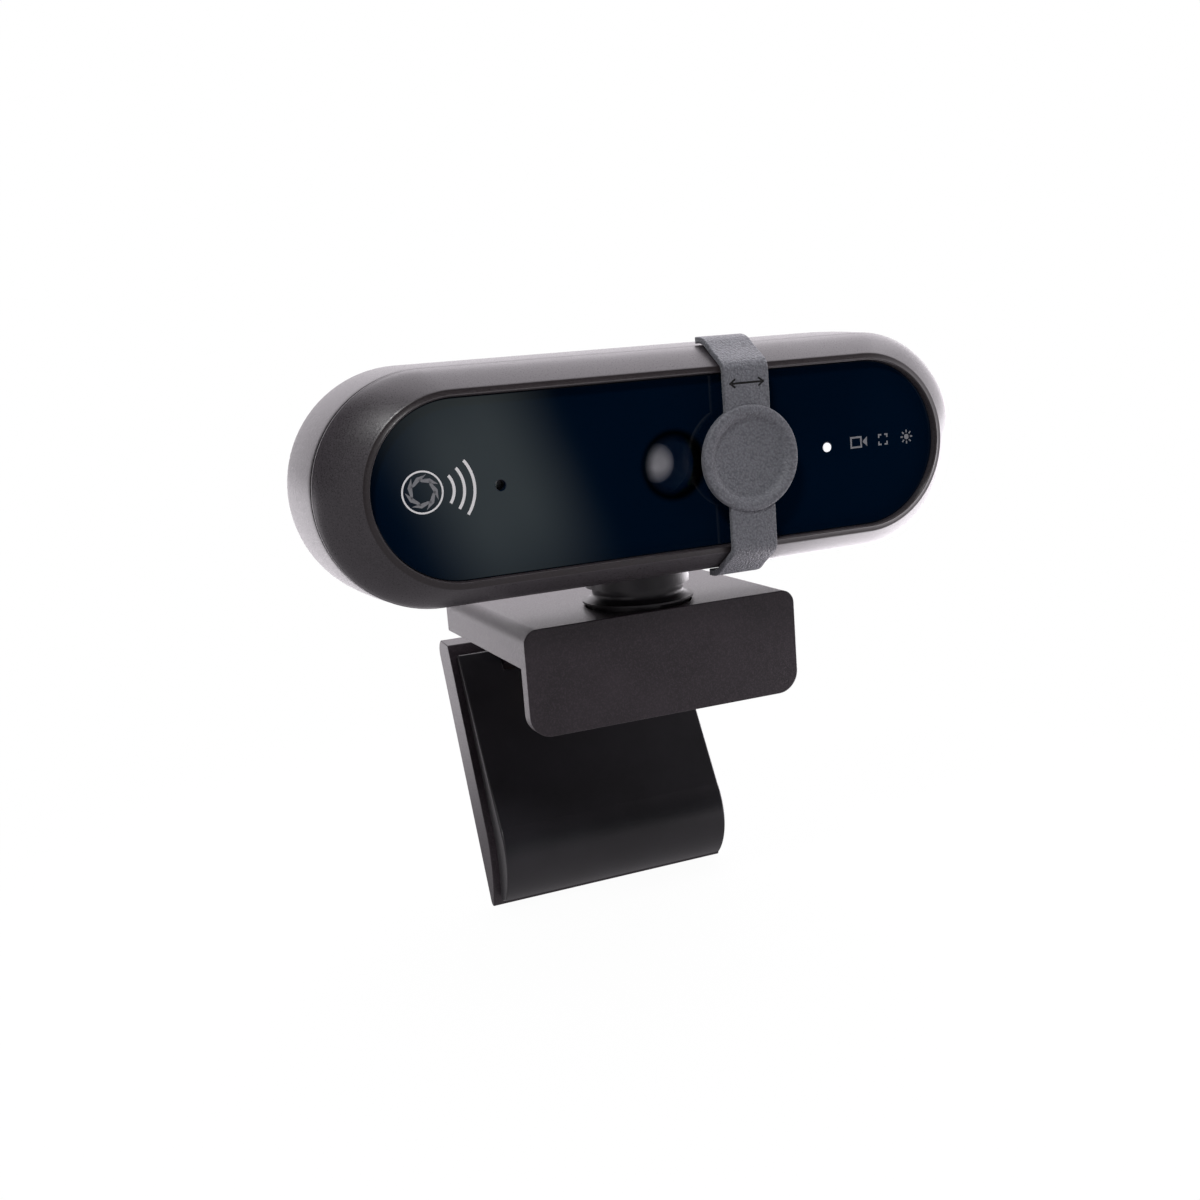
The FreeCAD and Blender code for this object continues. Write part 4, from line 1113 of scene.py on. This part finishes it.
def paper_finish():
    """White sweep, all but free of shadow to the eye. What the object reflects of it is white behind
    and at the right and dark in front, like flags laid on it."""
    finish, tree, surface, where = new_finish("white_paper")
    surface.inputs["Base Color"].default_value = (0.9, 0.9, 0.9, 1)
    surface.inputs["Roughness"].default_value = 0.9
    surface.inputs["Specular IOR Level"].default_value = 0
    reach = tree.nodes.new("ShaderNodeVectorMath")
    reach.operation = "LENGTH"
    tree.links.new(where, reach.inputs[0])
    glow = tree.nodes.new("ShaderNodeEmission")
    near = tree.nodes.new("ShaderNodeMixShader")
    tree.links.new(eased(tree, reach.outputs["Value"], 0.97, 1, 0.06, 0.17), near.inputs["Fac"])
    tree.links.new(surface.outputs["BSDF"], near.inputs[1])
    tree.links.new(glow.outputs["Emission"], near.inputs[2])
    place = tree.nodes.new("ShaderNodeSeparateXYZ")
    tree.links.new(where, place.inputs["Vector"])
    reflected = tree.nodes.new("ShaderNodeEmission")
    beside = tree.nodes.new("ShaderNodeMath")
    beside.operation = "MULTIPLY"
    tree.links.new(eased(tree, place.outputs["X"], 0.0, 4.5, 0.035, 0.09), beside.inputs[0])
    tree.links.new(eased(tree, place.outputs["Y"], 0.0, 1.0, -0.10, -0.03), beside.inputs[1])
    tree.links.new(summed(tree, [eased(tree, place.outputs["Y"], 0.5, 2.2, 0.03, 0.16),
                                 beside.outputs["Value"]]), reflected.inputs["Strength"])
    reflected.inputs["Color"].default_value = (*room_tint, 1)
    path = tree.nodes.new("ShaderNodeLightPath")
    choice = tree.nodes.new("ShaderNodeMixShader")
    tree.links.new(path.outputs["Is Camera Ray"], choice.inputs["Fac"])
    tree.links.new(reflected.outputs["Emission"], choice.inputs[1])
    tree.links.new(near.outputs["Shader"], choice.inputs[2])
    tree.links.new(choice.outputs["Shader"], tree.nodes["Material Output"].inputs["Surface"])
    return finish


floor_mesh.materials.append(paper_finish())
floor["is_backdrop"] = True

world = bpy.data.worlds.new("studio")
scene.world = world
world.use_nodes = True
sky = world.node_tree
seen = sky.nodes["Background"]
seen.inputs["Color"].default_value = (1, 1, 1, 1)
seen.inputs["Strength"].default_value = 1.0
lit = sky.nodes.new("ShaderNodeBackground")
lit.inputs["Color"].default_value = (*room_tint, 1)
direction = sky.nodes.new("ShaderNodeTexCoord")


def lobe(towards, full, edge, strength):
    """Soft round patch of light round a direction: full inside one angle, gone past the other."""
    dot = sky.nodes.new("ShaderNodeVectorMath")
    dot.operation = "DOT_PRODUCT"
    dot.inputs[1].default_value = Vector(towards).normalized()
    sky.links.new(direction.outputs["Generated"], dot.inputs[0])
    return eased(sky, dot.outputs["Value"], 0, strength, math.cos(math.radians(edge)),
                 math.cos(math.radians(full)))


patches = [
    lobe((0, 0, 1), 89, 180, 0.05),
    lobe((0.28, 0.95, 0.05), 38, 50, 1.45),
    lobe((1.0, 0.1, 0.1), 25, 55, 1.9),
    lobe((0.25, 0.3, 0.92), 22, 46, 2.4),
    lobe((-0.75, -0.65, 0.15), 10, 30, 0.6),
]
sky.links.new(summed(sky, patches), lit.inputs["Strength"])
path = sky.nodes.new("ShaderNodeLightPath")
choice = sky.nodes.new("ShaderNodeMixShader")
sky.links.new(path.outputs["Is Camera Ray"], choice.inputs["Fac"])
sky.links.new(lit.outputs["Background"], choice.inputs[1])
sky.links.new(seen.outputs["Background"], choice.inputs[2])
sky.links.new(choice.outputs["Shader"], sky.nodes["World Output"].inputs["Surface"])

head_centre = Vector((0, seam_y, head_z))


def softbox(name, place, target, width, height, power):
    """Rectangular soft light aimed at a point."""
    data = bpy.data.lights.new(name, "AREA")
    data.shape = "RECTANGLE"
    data.size = width
    data.size_y = height
    data.energy = power
    lamp = bpy.data.objects.new(name, data)
    lamp.location = place
    lamp.rotation_mode = "QUATERNION"
    lamp.rotation_quaternion = (Vector(target) - Vector(place)).to_track_quat("-Z", "Y")
    lamp.visible_camera = False
    scene.collection.objects.link(lamp)
    return lamp


softbox("front_key", (-0.42, -0.5, 0.72), head_centre, 0.12, 0.12, 4.2)


def card(name, centre, across, up, shades, blur):
    """Flat card seen only in reflections: one colour in the middle, fading to another outside."""
    centre, across, up = Vector(centre), Vector(across), Vector(up)
    mesh = bpy.data.meshes.new(name)
    mesh.from_pydata([centre - across - up, centre + across - up, centre + across + up,
                      centre - across + up], [], [(0, 1, 2, 3)])
    made = piece_of(name, mesh)
    finish, tree, surface, where = new_finish(name)
    offset = tree.nodes.new("ShaderNodeVectorMath")
    offset.operation = "SUBTRACT"
    offset.inputs[1].default_value = centre
    tree.links.new(where, offset.inputs[0])
    edges = []
    for side in (across, up):
        reach = tree.nodes.new("ShaderNodeVectorMath")
        reach.operation = "DOT_PRODUCT"
        reach.inputs[1].default_value = side / side.length_squared
        tree.links.new(offset.outputs["Vector"], reach.inputs[0])
        size = tree.nodes.new("ShaderNodeMath")
        size.operation = "ABSOLUTE"
        tree.links.new(reach.outputs["Value"], size.inputs[0])
        edges.append(eased(tree, size.outputs["Value"], 1, 0, 1 - blur, 1))
    both = tree.nodes.new("ShaderNodeMath")
    both.operation = "MULTIPLY"
    tree.links.new(edges[0], both.inputs[0])
    tree.links.new(edges[1], both.inputs[1])
    glow = tree.nodes.new("ShaderNodeEmission")
    tree.links.new(mixed(tree, both.outputs["Value"], shades[1], shades[0]), glow.inputs["Color"])
    tree.links.new(glow.outputs["Emission"], tree.nodes["Material Output"].inputs["Surface"])
    mesh.materials.append(finish)
    made.visible_camera = False
    made.visible_diffuse = False
    made.visible_shadow = False
    made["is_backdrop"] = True
    return made


card("dark_card", (0.22, -0.34, 0.03), (0.45, 0, 0), (0, 0, 0.075), ((0.0, 0.004, 0.01),
     (0.0, 0.004, 0.01)), 0.1)
card("glass_card", (0.059, -0.30, 0.005), (0.034, 0, 0.014), (-0.03, 0, 0.06),
     ((0.76, 0.86, 0.80), (0.0, 0.004, 0.01)), 0.85)

scene.view_settings.view_transform = "Standard"

# ---- sizes ----------------------------------------------------------------------------------------

low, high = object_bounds()
